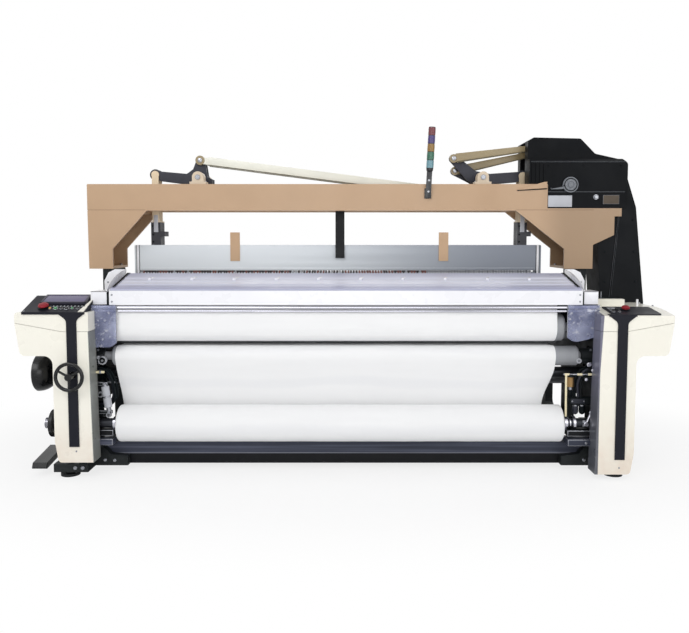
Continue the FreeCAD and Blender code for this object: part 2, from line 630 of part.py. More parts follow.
# ---------------------------------------------------------------- rails and beams
def rails():
    inner = (-S.frame_inner, S.frame_inner)
    front, back = S.rail_front, S.rail_front + S.rail_depth
    low, high = S.rail_bottom, S.rail_bottom + S.rail_height
    wall, lip = S.rail_wall, S.rail_lip
    channel = [
        (front, low + wall), (front + lip, low + wall), (front + lip, low), (back, low),
        (back, high), (back - wall, high), (back - wall, low + wall + lip),
        (front + wall, low + wall + lip), (front + wall, high - wall),
        (front + lip + wall, high - wall), (front + lip + wall, high), (front, high),
    ]
    node("front_rail", prism("front_rail", "YZ", channel, inner))
    y0, z0 = S.middle_rail_y, S.middle_rail_z
    y1, z1 = y0 + S.middle_rail_depth, z0 + S.middle_rail_height
    outer = [(y0, z0), (y1, z0), (y1, z1), (y0, z1)]
    inside = [(y0 + wall, z0 + wall), (y1 - wall, z0 + wall), (y1 - wall, z1 - wall),
              (y0 + wall, z1 - wall)]
    tube = prism("middle_rail", "YZ", outer, inner, holes=[inside], rounds=[([0, 1, 2, 3], wall)])
    node("middle_rail", tube)


def breast_beam():
    """Box beam with the rounded nose that the cloth turns over."""
    inner = (-S.frame_inner, S.frame_inner)
    front, back, low = S.breast_front, S.breast_back, S.breast_bottom
    outline = [(front, low), (back, low), (back, S.nose_z),
               (S.nose_y, S.nose_z + S.nose_radius - S.nose_lap),
               (S.nose_y - S.nose_radius * S.nose_share, S.nose_z)]
    beam = prism("breast_box", "YZ", outline, inner)
    nose = rod("breast_nose", "X", (S.nose_y, S.nose_z), inner, S.nose_radius)
    node("breast_beam", fuse("breast_beam", [beam, nose]))


def fascia():
    """Folded front sheet with end plates and the hinge pin of the splash cover."""
    x = (S.fascia_left, S.fascia_right)
    back = S.fascia_front + S.fascia_sheet
    sheet_outline = [(S.fascia_front, S.fascia_bottom), (back, S.fascia_bottom),
                     (back, S.fascia_top - S.hinge_curl_radius), (S.fascia_front, S.fascia_top)]
    pieces = [prism("fascia_sheet", "YZ", sheet_outline, x)]
    relief_y = S.nose_y - S.nose_radius - S.notch_gap
    relief_z = S.nose_z - S.nose_radius / 2 - S.notch_gap
    for number, start in enumerate((S.fascia_left, S.fascia_right - S.end_plate)):
        outline = [(S.fascia_front, S.fascia_bottom), (S.breast_front, S.fascia_bottom),
                   (S.breast_front, relief_z), (relief_y, relief_z),
                   (S.hinge_y + S.hinge_curl_radius, S.hinge_z),
                   (S.hinge_y, S.hinge_z + S.hinge_curl_radius), (S.fascia_front, S.hinge_z)]
        ends = (start, start + S.end_plate)
        pieces.append(prism(f"fascia_end{number}", "YZ", outline, ends))
    pieces.append(rod("fascia_pin", "X", (S.hinge_y, S.hinge_z), x, S.hinge_pin_radius))
    node("front_fascia", fuse("front_fascia", pieces))


def splash_cover():
    """Sloping sheet that tips forward about the pin on the fascia."""
    x = (S.splash_left, S.splash_right)
    curl = rod("splash_curl", "X", (S.hinge_y, S.hinge_z), x, S.hinge_curl_radius)
    eye = rod("splash_eye", "X", (S.hinge_y, S.hinge_z), (x[0] - 5, x[1] + 5),
              S.hinge_pin_radius + S.bearing_gap)
    top = S.hinge_curl_radius
    low = top - S.splash_sheet
    far = S.splash_length
    outline = [(0, low), (far - S.splash_sheet, low), (far - S.splash_sheet, low - S.splash_hem),
               (far, low - S.splash_hem), (far, top), (0, top)]
    pieces = [curl, tilted(prism("splash_sheet", "YZ", outline, x), S.splash_tilt,
                           0, S.hinge_y, S.hinge_z)]
    flange = [(S.hinge_curl_radius + 4, low), (far, low), (far, low - S.splash_flange),
              (3 * S.splash_flange, low - S.splash_flange)]
    for number, start in enumerate((S.splash_left, S.splash_right - S.splash_sheet)):
        plate = prism(f"splash_end{number}", "YZ", flange, (start, start + S.splash_sheet))
        pieces.append(tilted(plate, S.splash_tilt, 0, S.hinge_y, S.hinge_z))
    node("splash_cover", cut("splash_cover", fuse("splash_solid", pieces), [eye]))


def guide_bars():
    """Polished bar and thin bar under the fascia, on a stay at each end of the breast beam."""
    x = (-S.bar_reach, S.bar_reach)
    pieces = [rod("polished_bar", "X", (S.bar_y, S.bar_z), x, S.bar_radius),
              rod("thin_bar", "X", (S.bar_y, S.thin_bar_z), x, S.thin_bar_radius)]
    for side in (LEFT, RIGHT):
        stay_x = span(side, S.bar_stay_x, S.bar_stay_x + S.bar_stay_width)
        pieces.append(box(f"bar_stay{side + 1}", stay_x, (S.bar_y, S.breast_front),
                          (S.thin_bar_z - S.thin_bar_radius, S.bar_z + S.bar_radius)))
    node("guide_bars", fuse("guide_bars", pieces))


def side_guards():
    y = (S.guard_front, S.guard_front + S.guard_sheet)
    guards = []
    for side, edge in ((LEFT, S.guard_left_edge), (RIGHT, S.guard_right_edge)):
        wall = side * S.frame_inner
        outline = [(wall, S.guard_bottom), (edge + side * 30, S.guard_bottom),
                   (edge, S.guard_bottom + 60), (edge, S.guard_top), (wall, S.guard_top)]
        guards.append(prism(f"guard{side + 1}", "XZ", outline, y, rounds=[([1, 2], 12)]))
    node("side_guards", group("side_guards", guards))


# ---------------------------------------------------------------- rollers, cloth and cloth roll
def roller(name, y, z, radius, left, right, journal):
    """Roller with rounded rims and a journal into each side frame."""
    edge = S.roller_round
    profile = [
        (-frame_outer, 0), (-frame_outer, journal), (left, journal), (left, radius - edge),
        (left + edge, radius), (right - edge, radius), (right, radius - edge), (right, journal),
        (frame_outer, journal), (frame_outer, 0),
    ]
    return node(name, turned(name, "X", (y, z), profile))


def cloth_roll():
    roll = rod("cloth_winding", "X", (S.roll_y, S.roll_z), (S.roll_left, S.roll_right), S.roll_radius)
    bore = rod("cloth_core", "X", (S.roll_y, S.roll_z), (S.roll_left - 5, S.roll_right + 5),
               S.roll_shaft_radius)
    node("cloth_roll", cut("cloth_roll", roll, [bore]))
    half = S.end_wheel_width / 2
    shaft, wheel, knob = S.roll_shaft_radius, S.end_wheel_radius, S.knob_radius
    left, right = S.end_wheel_x - half, S.end_wheel_x + half
    profile = [
        (S.knob_end, 0), (S.knob_end, knob - 6), (S.knob_end + 6, knob), (left - 16, knob),
        (left - 16, knob - 8), (left, knob - 8), (left, wheel - 6), (left + 6, wheel),
        (right - 6, wheel), (right, wheel - 6), (right, knob + 6), (right + 22, knob + 6),
        (right + 22, shaft), (frame_outer, shaft), (frame_outer, 0),
    ]
    node("cloth_roll_shaft", turned("cloth_roll_shaft", "X", (S.roll_y, S.roll_z), profile))


def wrap_lines(wraps, offset):
    """Straight stretches of a sheet that runs round circles, shifted to its left by offset.

    Each wrap is (y, z, radius of the sheet's middle, +1 turning left or -1 turning right).
    """
    lines = []
    for (y1, z1, r1, s1), (y2, z2, r2, s2) in zip(wraps, wraps[1:]):
        apart = math.hypot(y2 - y1, z2 - z1)
        across = s2 * r2 - s1 * r1
        along = math.sqrt(max(0.0, apart ** 2 - across ** 2))
        angle = math.atan2(z2 - z1, y2 - y1) - math.atan2(across, along)
        ny, nz = -math.sin(angle), math.cos(angle)
        start = (y1 + (offset - s1 * r1) * ny, z1 + (offset - s1 * r1) * nz)
        end = (y2 + (offset - s2 * r2) * ny, z2 + (offset - s2 * r2) * nz)
        lines.append((start, end))
    return lines


def wrap_edges(wraps, offset, x):
    """Edges of one side of the sheet, in order of travel."""
    lines = wrap_lines(wraps, offset)
    edges = []
    for index, (start, end) in enumerate(lines):
        if math.dist(start, end) > 1e-4:
            edges.append(Part.LineSegment(V(x, *start), V(x, *end)).toShape())
        if index + 1 == len(lines):
            break
        y, z, _, turn = wraps[index + 1]
        leave = lines[index + 1][0]
        first = math.atan2(end[1] - z, end[0] - y)
        last = math.atan2(leave[1] - z, leave[0] - y)
        sweep = turn * ((turn * (last - first)) % (2 * math.pi))
        reach = math.hypot(end[0] - y, end[1] - z)
        middle = first + sweep / 2
        through = V(x, y + reach * math.cos(middle), z + reach * math.sin(middle))
        edges.append(Part.Arc(V(x, *end), through, V(x, *leave)).toShape())
    return edges


def wrapped_sheet(name, wraps, left, right):
    """Sheet of even thickness that runs round the given wraps."""
    half = S.web_thick.value / 2
    outer = wrap_edges(wraps, half, left)
    inner = wrap_edges(wraps, -half, left)
    start = Part.LineSegment(inner[0].Vertexes[0].Point, outer[0].Vertexes[0].Point).toShape()
    last_outer = wrap_lines(wraps, half)[-1][1]
    last_inner = wrap_lines(wraps, -half)[-1][1]
    end = Part.LineSegment(V(left, *last_outer), V(left, *last_inner)).toShape()
    rim = Part.Wire(Part.__sortEdges__([start, *outer, end, *inner]))
    face = Part.Face(rim)
    return node(name, solid(name, face.extrude(V(right - left, 0, 0))))


def cloth_and_warp():
    stand_off = S.web_gap.value + S.web_thick.value / 2
    level = warp_z.value + S.web_thick.value / 2
    cloth = [
        (S.fell_y.value, level, 0, 1),
        (S.nose_y.value, S.nose_z.value, S.nose_radius.value + stand_off, 1),
        (S.take_up_y.value, S.take_up_z.value, S.take_up_radius.value + stand_off, 1),
        (press_y.value, press_z.value, S.press_radius.value + stand_off, -1),
        (S.guide_y.value, S.guide_z.value, S.guide_radius.value + stand_off, 1),
        (S.roll_y.value, S.roll_z.value, S.roll_radius.value + stand_off, -1),
    ]
    wrapped_sheet("cloth_web", cloth, S.cloth_left.value, S.cloth_right.value)
    warp = [
        (S.shed_y.value, level, 0, -1),
        (S.rest_y.value, rest_z.value, S.rest_radius.value + stand_off, -1),
        (S.beam_y.value, S.beam_z.value, S.yarn_radius.value + stand_off, -1),
    ]
    wrapped_sheet("warp_sheet", warp, S.warp_left.value, S.warp_right.value)


# ---------------------------------------------------------------- warp beam
def warp_beam():
    """Barrel and flanges; each flange has a thick rim and a ring of lightening holes."""
    shaft, barrel, thick = S.beam_shaft_radius, S.barrel_radius, S.flange_thick
    rim, flange = S.flange_rim, S.flange_radius
    left, right = S.warp_left - 2, S.warp_right + 2
    profile = [
        (-frame_outer, 0), (-frame_outer, shaft), (left - thick - 30, shaft),
        (left - thick - 30, barrel), (left - thick, barrel), (left - thick, flange - 2 * rim),
        (left - thick - rim, flange - 2 * rim), (left - thick - rim, flange), (left, flange),
        (left, barrel), (right, barrel), (right, flange), (right + thick + rim, flange),
        (right + thick + rim, flange - 2 * rim), (right + thick, flange - 2 * rim),
        (right + thick, barrel), (right + thick + 30, barrel), (right + thick + 30, shaft),
        (frame_outer, shaft), (frame_outer, 0),
    ]
    spool = turned("beam_spool", "X", (S.beam_y, S.beam_z), profile)
    holes = []
    for end, x in enumerate((left - thick, right)):
        for number in range(int(S.flange_holes.value)):
            angle = size(number) * 360 / S.flange_holes
            y = S.beam_y + S.flange_hole_pitch * cosd(angle)
            z = S.beam_z + S.flange_hole_pitch * sind(angle)
            ends = (x - 5, x + thick + 5)
            holes.append(rod(f"flange_hole{end}{number}", "X", (y, z), ends, S.flange_hole_radius))
    node("warp_beam", cut("warp_beam", spool, holes))
    yarn = rod("yarn_winding", "X", (S.beam_y, S.beam_z), (S.warp_left, S.warp_right), S.yarn_radius)
    core = rod("yarn_core", "X", (S.beam_y, S.beam_z), (S.warp_left - 5, S.warp_right + 5), barrel)
    node("warp_yarn", cut("warp_yarn", yarn, [core]))


# ---------------------------------------------------------------- beat-up: sley and reed
def sley_and_reed():
    x = (S.sley_left, S.sley_right)
    beam = box("sley_beam", x, (S.sley_front, S.sley_back), (S.sley_bottom, S.sley_top))
    seat_half = S.reed_thick / 2 + S.reed_seat_gap
    groove = box("reed_groove", (x[0] - 5, x[1] + 5), (S.reed_y - seat_half, S.reed_y + seat_half),
                 (S.reed_bottom, S.sley_top + 5))
    shaft = rod("rocking_shaft", "X", (S.rocking_y, S.rocking_z), (-frame_outer, frame_outer),
                S.rocking_radius)
    pieces = [beam, shaft]
    half = S.sword_width / 2
    low, high = S.rocking_z, S.sley_bottom + 10
    mid = (S.sley_front + S.sley_back) / 2
    outline = [(S.rocking_y - half, low), (S.rocking_y + half, low), (mid + half * 0.7, high),
               (mid - half * 0.7, high)]
    for number, centre in enumerate((S.sley_left + S.sword_inset, -S.sword_mid, S.sword_mid,
                                     S.sley_right - S.sword_inset)):
        ends = (centre - S.sword_thick / 2, centre + S.sword_thick / 2)
        pieces.append(prism(f"sword{number}", "YZ", outline, ends))
        hub_ends = (centre - S.sword_thick * 1.5, centre + S.sword_thick * 1.5)
        pieces.append(rod(f"sword_hub{number}", "X", (S.rocking_y, S.rocking_z), hub_ends,
                          S.rocking_radius + S.boss_wall))
    node("sley", cut("sley", fuse("sley_solid", pieces), [groove]))
    reed()


def reed():
    """Comb of dents between two bands: a wall with a row of slots."""
    left, right = S.cloth_left.value, S.cloth_right.value + 10
    low, high, band = S.reed_bottom.value, S.reed_top.value, S.reed_band.value
    back = S.reed_y.value + S.reed_thick.value / 2
    count = int(S.reed_dents.value)
    pitch = (right - left - 2 * band) / count
    slot = pitch * S.reed_dent_share.value

    def ring(x0, x1, z0, z1):
        points = [V(x0, back, z0), V(x1, back, z0), V(x1, back, z1), V(x0, back, z1)]
        return Part.makePolygon(points + points[:1])

    rims = [ring(left, right, low, high)]
    for number in range(count):
        middle = left + band + (number + 0.5) * pitch
        rims.append(ring(middle - slot / 2, middle + slot / 2, low + band, high - band / 2))
    face = Part.Face(rims[0])
    holes = [Part.Face(rim) for rim in rims[1:]]
    wall = face.cut(Part.makeCompound(holes)).extrude(V(0, -S.reed_thick.value, 0))
    node("reed", solid("reed", wall.Solids[0]))


# ---------------------------------------------------------------- column covers
def lower_cover(side, name, bottom):
    """Column moulding with the outward overhang; open at the back, the top and the foot."""
    wall = S.cover_wall
    outline = [
        (S.cover_inner, S.seam_inner_z), (S.column_inner_toe, bottom), (S.column_toe, bottom),
        (S.cover_outer, bottom + S.column_toe_rise), (S.cover_outer, S.overhang_bottom),
        (S.overhang_foot, S.overhang_bottom), (S.overhang_outer, S.seam_outer_z),
        (S.seam_knee, S.seam_inner_z),
    ]
    rounds = [([4], S.cover_shoulder_radius), ([5], S.cover_corner_radius), ([2], 20)]
    over = [(S.cover_outer, S.overhang_bottom), (S.overhang_foot, S.overhang_bottom),
            (S.overhang_outer, S.seam_outer_z), (S.cover_outer, S.seam_inner_z + 9)]
    inside = [
        (S.cover_inner + wall, S.seam_outer_z + 60), (S.column_inner_toe + wall, bottom - 1),
        (S.column_toe - wall, bottom - 1), (S.cover_outer - wall, bottom + S.column_toe_rise),
        (S.cover_outer - wall, S.overhang_bottom + S.cover_shoulder_radius),
        (S.cover_outer + 12, S.overhang_bottom + wall + 14),
        (S.overhang_foot - 20, S.overhang_bottom + wall + 14),
        (S.overhang_outer - wall, S.seam_outer_z), (S.overhang_outer - wall, S.seam_outer_z + 60),
    ]
    inside_over = [(S.cover_outer + wall, S.seam_outer_z + 60),
                   (S.cover_outer + wall, S.overhang_bottom + wall),
                   (S.overhang_foot - wall, S.overhang_bottom + wall),
                   (S.overhang_outer - wall, S.seam_outer_z),
                   (S.overhang_outer - wall, S.seam_outer_z + 60)]
    front, back = S.cover_front, S.cover_back
    column = prism(name + "_column", "XZ", sided(side, outline), (front, S.column_back), rounds=rounds)
    overhang = prism(name + "_overhang", "XZ", sided(side, over), (front + 60, back),
                     rounds=[([1], S.cover_corner_radius)])
    tools = [
        prism(name + "_inside", "XZ", sided(side, inside), (front + wall, S.column_back + 1)),
        prism(name + "_tray", "XZ", sided(side, inside_over), (S.column_back - 60, back - wall)),
        box(name + "_side_gap", span(side, S.column_inner_toe - 40, S.cover_inner + wall + 12),
            (front + S.inner_wall_depth, S.column_back + 1), (bottom - 1, S.seam_outer_z)),
    ]
    if side == LEFT:
        tools.append(rod(name + "_wheel_hole", "Y", (S.handwheel_x, S.handwheel_z),
                         (front - 5, front + 40), S.handwheel_shaft + 6))
        tools.append(rod(name + "_shaft_hole", "X", (S.roll_y, S.roll_z),
                         (-S.cover_outer - 30, -S.cover_outer + 30), S.knob_radius + 12))
    node(name, cut(name, fuse(name + "_solid", [column, overhang]), tools))


def sided(side, points):
    """Outline drawn for the right side, put on the given side."""
    return [(side * size(x), z) for x, z in points]


def upper_cover(side, name, front_top, back_top):
    """Lid above the seam; its top can slope up from the front edge."""
    wall, gap = S.cover_wall, S.seam_gap
    outline = [
        (S.cover_inner, S.seam_inner_z + gap), (S.seam_knee, S.seam_inner_z + gap),
        (S.overhang_outer, S.seam_outer_z + gap), (S.overhang_outer, back_top),
        (S.cover_inner, back_top),
    ]
    inside = [
        (S.cover_inner + wall, S.seam_inner_z - S.lid_inside_under), (S.overhang_outer - wall, S.seam_inner_z - S.lid_inside_under),
        (S.overhang_outer - wall, back_top - wall - S.lid_corner),
        (S.overhang_outer - wall - S.lid_corner, back_top - wall), (S.cover_inner + wall, back_top - wall),
    ]
    front, back = S.cover_front, S.cover_back
    low = S.seam_inner_z - S.lid_skirt
    slope = [(front, low), (back, low), (back, back_top), (S.right_slope_end, back_top),
             (front, front_top)]
    slope_in = [(front + wall, low - 1), (back - wall, low - 1), (back - wall, back_top - wall),
                (S.right_slope_end, back_top - wall), (front + wall, front_top - wall)]
    x = span(side, S.cover_inner - 5, S.overhang_outer + 5)
    outer = common(name + "_outer", prism(name + "_front_view", "XZ", sided(side, outline),
                                          (front, back), rounds=[([3], S.lid_round)]),
                   prism(name + "_side_view", "YZ", slope, x))
    inner = common(name + "_inner", prism(name + "_front_in", "XZ", sided(side, inside), (front, back)),
                   prism(name + "_side_in", "YZ", slope_in, x))
    notch = box(name + "_notch", span(side, S.cover_inner - S.cut_margin, S.frame_inner + S.notch_gap),
                (S.notch_front, S.notch_back), (low, back_top + S.cut_margin))
    tools = [inner, notch]
    if side == RIGHT:
        tools += right_panel_bores(name)
    shell = cut(name + "_shell" if side == RIGHT else name, outer, tools)
    if side == RIGHT:
        cabinet = box(name + "_cabinet", (S.cover_inner, S.cover_inner + S.cabinet_width),
                      (S.right_slope_end + S.cabinet_setback, S.cover_back - S.cabinet_back_in),
                      (back_top - 1, back_top + S.cabinet_height))
        shell = fuse(name, [shell, cabinet])
    node(name, shell)


# ---------------------------------------------------------------- consoles and push buttons
console_slope = S.console_tilt
right_slope = direction(S.right_slope_end - S.cover_front, S.right_cover_top - S.right_cover_front_top)
console_origin = (S.cover_front - S.console_lip, S.console_start)
console_length = (S.console_back - S.console_depth_top - console_origin[0]) / cosd(console_slope)
right_origin = (S.cover_front, S.right_cover_front_top)


def on_slope(origin, slope, s, lift=0):
    """Y and Z of a place s up a slope and lift above its face."""
    lift = size(lift)
    y = origin[0] + s * cosd(slope) - lift * sind(slope)
    z = origin[1] + s * sind(slope) + lift * cosd(slope)
    return y, z


def trim_outline(side, centre, bottom, top):
    """Front strip that flares out where it meets the console."""
    half, flare = S.trim_width / 2, S.trim_flare
    points = [(centre - half, bottom), (centre + half, bottom),
              (centre + half, top - S.trim_flare_drop), (centre + half + flare, top),
              (centre - half - flare, top), (centre - half, top - S.trim_flare_drop)]
    return sided(side, points)


def left_console():
    y0, z0 = console_origin
    y1, z1 = on_slope(console_origin, console_slope, console_length)
    outline = [(y0, z0 - S.console_drop - 2), (S.cover_front, z0 - S.console_drop - 2),
               (S.cover_front, S.left_cover_top), (S.console_back, S.left_cover_top),
               (S.console_back, z1), (y1, z1), (y0, z0)]
    wedge = prism("console_wedge", "YZ", outline, (S.console_left, S.console_right))
    strip = prism("left_strip", "XZ", trim_outline(LEFT, S.trim_centre, S.trim_bottom,
                                                   z0 - S.console_drop + 4),
                  (y0, S.cover_front), rounds=[([2, 5], 30)])
    tools = [button_bore("stop_bore", console_origin, console_slope, S.stop_x, S.stop_s,
                         S.stop_stem_radius, S.stop_stem)]
    for name, x in (("start_bore", S.start_x), ("halt_bore", S.jog_x)):
        tools.append(button_bore(name, console_origin, console_slope, x, S.start_s,
                                 S.button_radius, S.button_height + 2))
    tools.append(box("console_notch", (-S.frame_inner - S.notch_gap, S.console_right + S.cut_margin),
                     (S.nose_y - S.nose_radius - S.notch_gap, S.console_back + S.cut_margin),
                     (S.left_cover_top - S.cut_margin, z1 + S.cut_margin)))
    tools.append(rod("strip_wheel_hole", "Y", (S.handwheel_x, S.handwheel_z),
                     (y0 - 5, S.cover_front + 5), S.handwheel_shaft + 6))
    node("left_panel", cut("left_panel", fuse("left_panel_solid", [wedge, strip]), tools))
    y, z = on_slope(console_origin, console_slope, S.screen_start)
    screen = prism("touch_screen", "XY", rectangle_between(0, S.screen_width, 0, S.screen_length),
                   (0, S.screen_thick), rounds=[([0, 1, 2, 3], 8)])
    tilted(screen, console_slope, S.screen_x - S.screen_width / 2, y, z)
    node("touch_screen", screen)


def rectangle_between(u0, u1, v0, v1):
    return [(u0, v0), (u1, v0), (u1, v1), (u0, v1)]


def right_console():
    y, z = on_slope(right_origin, right_slope, S.right_panel_offset)
    width = S.right_panel_right - S.right_panel_left
    plate = prism("right_plate", "XY", rectangle_between(0, width, 0, S.right_panel_depth),
                  (0, S.right_panel_thick), rounds=[([0, 1, 2, 3], 10)])
    tilted(plate, right_slope, S.right_panel_left, y, z)
    lip_x = (S.trim_right_centre - S.trim_width / 2 - S.trim_flare,
             S.trim_right_centre + S.trim_width / 2 + S.trim_flare)
    lip_top = S.right_cover_front_top + 3
    lip = box("right_lip", lip_x, (S.cover_front - S.console_lip, S.cover_front + 30),
              (S.right_cover_front_top - 4, lip_top + 4))
    strip = prism("right_strip", "XZ", trim_outline(RIGHT, S.trim_right_centre, S.trim_right_bottom,
                                                    S.right_cover_front_top),
                  (S.cover_front - S.console_lip, S.cover_front), rounds=[([2, 5], 30)])
    cover_copy = prism("right_lid_room", "YZ",
                       [(S.cover_front, S.trim_right_bottom), (S.console_back + 20, S.trim_right_bottom),
                        (S.console_back + 20, S.right_cover_top), (S.right_slope_end, S.right_cover_top),
                        (S.cover_front, S.right_cover_front_top)],
                       (S.right_panel_left - 40, S.right_panel_right + 40))
    body = cut("right_panel_body", fuse("right_panel_solid", [plate, lip, strip]), [cover_copy])
    tools = right_panel_bores("right_panel")
    node("right_panel", cut("right_panel", body, tools))


def right_panel_bores(name):
    """Bores for the right emergency stop and push button."""
    places = ((S.right_stop_x, S.right_stop_s, S.stop_stem_radius, S.stop_stem),
              (S.right_button_x, S.right_button_s, S.button_radius, S.button_height + 2))
    return [button_bore(f"{name}_bore{number}", right_origin, right_slope, x, s, radius, deep)
            for number, (x, s, radius, deep) in enumerate(places)]


def button_bore(name, origin, slope, x, s, radius, deep):
    """Bore square to a sloping face, from above it down to a depth."""
    bore = doc.addObject("Part::Cylinder", name)
    bind(bore, Radius=radius + S.button_gap, Height=deep + 20)
    y, z = on_slope(origin, slope, s, -deep)
    return tilted(bore, slope, x, y, z)


def push_piece(name, origin, slope, x, s, profile):
    """Button turned about its own axis, standing square on a sloping face."""
    body, sketch = body_with_sketch(name, "XZ", [profile])
    spin = body.newObject("PartDesign::Revolution", name + "_turn")
    spin.Profile = sketch
    spin.ReferenceAxis = (sketch, ["V_Axis"])
    spin.Angle = 360
    y, z = on_slope(origin, slope, s)
    tilted(body, slope, x, y, z)
    return node(name, body)


def stop_button(name, origin, slope, x, s):
    """Mushroom head on a stem that slides in its bore."""
    stem, cap, lift = S.stop_stem_radius, S.stop_cap_radius, S.stop_lift
    top = lift + S.stop_cap_height
    profile = [(0, -S.stop_stem + lift), (stem, -S.stop_stem + lift), (stem, lift), (cap, lift),
               (cap, top - 7), (cap - 4, top - 2), (cap - 10, top), (0, top)]
    return push_piece(name, origin, slope, x, s, profile)


def round_button(name, origin, slope, x, s):
    radius, top = S.button_radius, S.button_lift
    low = top - S.button_height
    profile = [(0, low), (radius, low), (radius, top - 1.5), (radius - 1.5, top), (0, top)]
    return push_piece(name, origin, slope, x, s, profile)


def push_buttons():
    stop_button("e_stop_left", console_origin, console_slope, S.stop_x, S.stop_s)
    round_button("start_button", console_origin, console_slope, S.start_x, S.start_s)
    round_button("halt_button", console_origin, console_slope, S.jog_x, S.start_s)
    top = (right_origin[0], right_origin[1])
    stop_button("e_stop_right", lifted(top), right_slope, S.right_stop_x, S.right_stop_s)
    round_button("right_button", lifted(top), right_slope, S.right_button_x, S.right_button_s)


def lifted(origin):
    """Origin raised to the top face of the right panel."""
    return (origin[0] - S.right_panel_thick * sind(right_slope),
            origin[1] + S.right_panel_thick * cosd(right_slope))


# ---------------------------------------------------------------- handwheel, main shaft, pedal
def handwheel():
    """Rim, hub and spokes, with the shaft that runs back into the left side frame."""
    rim = doc.addObject("Part::Torus", "wheel_rim")
    bind(rim, Radius1=S.handwheel_radius, Radius2=S.handwheel_rim)
    rim.Placement = FreeCAD.Placement(V(), TURN_FROM_Z["Y"])
    place(rim, S.handwheel_x, S.handwheel_y, S.handwheel_z)
    centre = (S.handwheel_x, S.handwheel_z)
    shaft_end = S.frame_front + S.handwheel_depth
    profile = [
        (S.handwheel_face, 0), (S.handwheel_face, S.handwheel_hub - 4),
        (S.handwheel_face + 4, S.handwheel_hub), (S.handwheel_y + 14, S.handwheel_hub),
        (S.handwheel_y + 14, S.handwheel_shaft), (shaft_end, S.handwheel_shaft), (shaft_end, 0),
    ]
    pieces = [rim, turned("wheel_hub", "Y", centre, profile)]
    for number in range(int(S.spoke_count.value)):
        spoke = doc.addObject("Part::Cylinder", f"wheel_spoke{number}")
        bind(spoke, Radius=S.handwheel_spoke, Height=S.handwheel_radius)
        angle = size(number) * 360 / S.spoke_count + 60
        tilted(spoke, angle, S.handwheel_x, S.handwheel_y, S.handwheel_z, axis=V(0, 1, 0))
        pieces.append(spoke)
    node("handwheel", fuse("handwheel", pieces))


def main_shaft():
    """Main shaft with the dished hand disc on its left end."""
    tip, rim, radius, hub = S.disc_tip, S.disc_rim, S.disc_radius, S.disc_hub_radius
    face = tip + S.disc_dome
    profile = [
        (tip, 0), (tip + 1, radius * 0.22), (tip + S.disc_dome * 0.14, radius * 0.45),
        (tip + S.disc_dome * 0.4, radius * 0.72), (face - 8, radius * 0.92), (face, radius),
        (face + rim, radius), (face + rim, radius - 14), (face + 4, radius - 20),
        (face + 4, hub), (face + S.disc_hub_length, hub), (face + S.disc_hub_length, S.main_radius),
        (S.main_right, S.main_radius), (S.main_right, 0),
    ]
    node("main_shaft", turned("main_shaft", "X", (S.main_y, S.main_z), profile))


def pedal():
    """Foot pedal on a pin from the left side frame."""
    x = (S.pedal_left, S.pedal_right)
    hub = rod("pedal_boss", "X", (S.pedal_pivot_y, S.pedal_pivot_z), x, S.pedal_hub)
    outline = [(S.pedal_pivot_y, S.pedal_pivot_z + S.pedal_hub),
               (S.pedal_front + S.pedal_lip_run, S.pedal_top), (S.pedal_front, S.pedal_top - S.pedal_nose),
               (S.pedal_front + S.pedal_lip_back, S.pedal_top - S.pedal_nose - S.pedal_lip_drop),
               (S.pedal_pivot_y, S.pedal_pivot_z - S.pedal_hub)]
    tread = prism("pedal_tread", "YZ", outline, x, rounds=[([1, 2], S.pedal_round)])
    bore = rod("pedal_bore", "X", (S.pedal_pivot_y, S.pedal_pivot_z), (x[0] - 5, x[1] + 5),
               S.pedal_pin_radius + S.bearing_gap)
    node("pedal", cut("pedal", fuse("pedal_solid", [hub, tread]), [bore]))


# ---------------------------------------------------------------- gantry
def gantry():
    front = rectangle_between(S.beam_left, S.beam_right, S.beam_bottom, S.beam_top)
    node("gantry_front_beam", prism("gantry_front_beam", "XZ", front,
                                    (S.gantry_front, S.front_beam_back),
                                    rounds=[([0, 1, 2, 3], S.beam_round)]))
    node("gantry_rear_beam", prism("gantry_rear_beam", "XZ", front,
                                   (S.rear_beam_front, S.gantry_back),
                                   rounds=[([0, 1, 2, 3], S.beam_round)]))
    plate, wall, top = S.bracket_plate, S.bracket_wall, S.beam_bottom
    left = [(S.beam_left, top), (S.left_slant_top, top), (S.left_leg_inner, S.left_slant_low),
            (S.left_leg_inner, S.post_top), (S.left_leg_outer, S.post_top)]
    room = rectangle_between(S.left_leg_outer + wall, S.left_slant_top + 60, S.post_top + plate,
                             top - plate)
    y = (S.gantry_front, S.gantry_back)
    y_room = (S.gantry_front + plate, S.gantry_back - plate)
    node("gantry_left_bracket", cut("gantry_left_bracket", prism("left_bracket_block", "XZ", left, y),
                                    [prism("left_bracket_room", "XZ", room, y_room),
                                     link_slot("left_bracket_slot", LEFT, y_room)]))
    right = [(S.right_slant_top, top), (S.right_leg_inner, S.left_slant_low),
             (S.right_leg_inner, S.post_top), (S.right_leg_outer, S.post_top),
             (S.right_leg_outer, S.shelf_top), (S.beam_right, S.shelf_top), (S.beam_right, top)]
    ear = [(S.right_leg_outer - 1, S.ear_heel), (S.ear_right, S.ear_low), (S.ear_right, S.shelf_bottom),
           (S.shelf_right, S.shelf_bottom), (S.shelf_right, S.shelf_top),
           (S.right_leg_outer - 1, S.shelf_top)]
    room = rectangle_between(S.right_slant_top - 60, S.right_leg_outer - wall, S.post_top + plate,
                             top - plate)
    block = fuse("right_bracket_block", [prism("right_bracket_body", "XZ", right, y),
                                         prism("right_bracket_ear", "XZ", ear,
                                               (S.gantry_front, S.ear_back))])
    node("gantry_right_bracket", cut("gantry_right_bracket", block,
                                     [prism("right_bracket_room", "XZ", room, y_room),
                                      link_slot("right_bracket_slot", RIGHT, y_room)]))


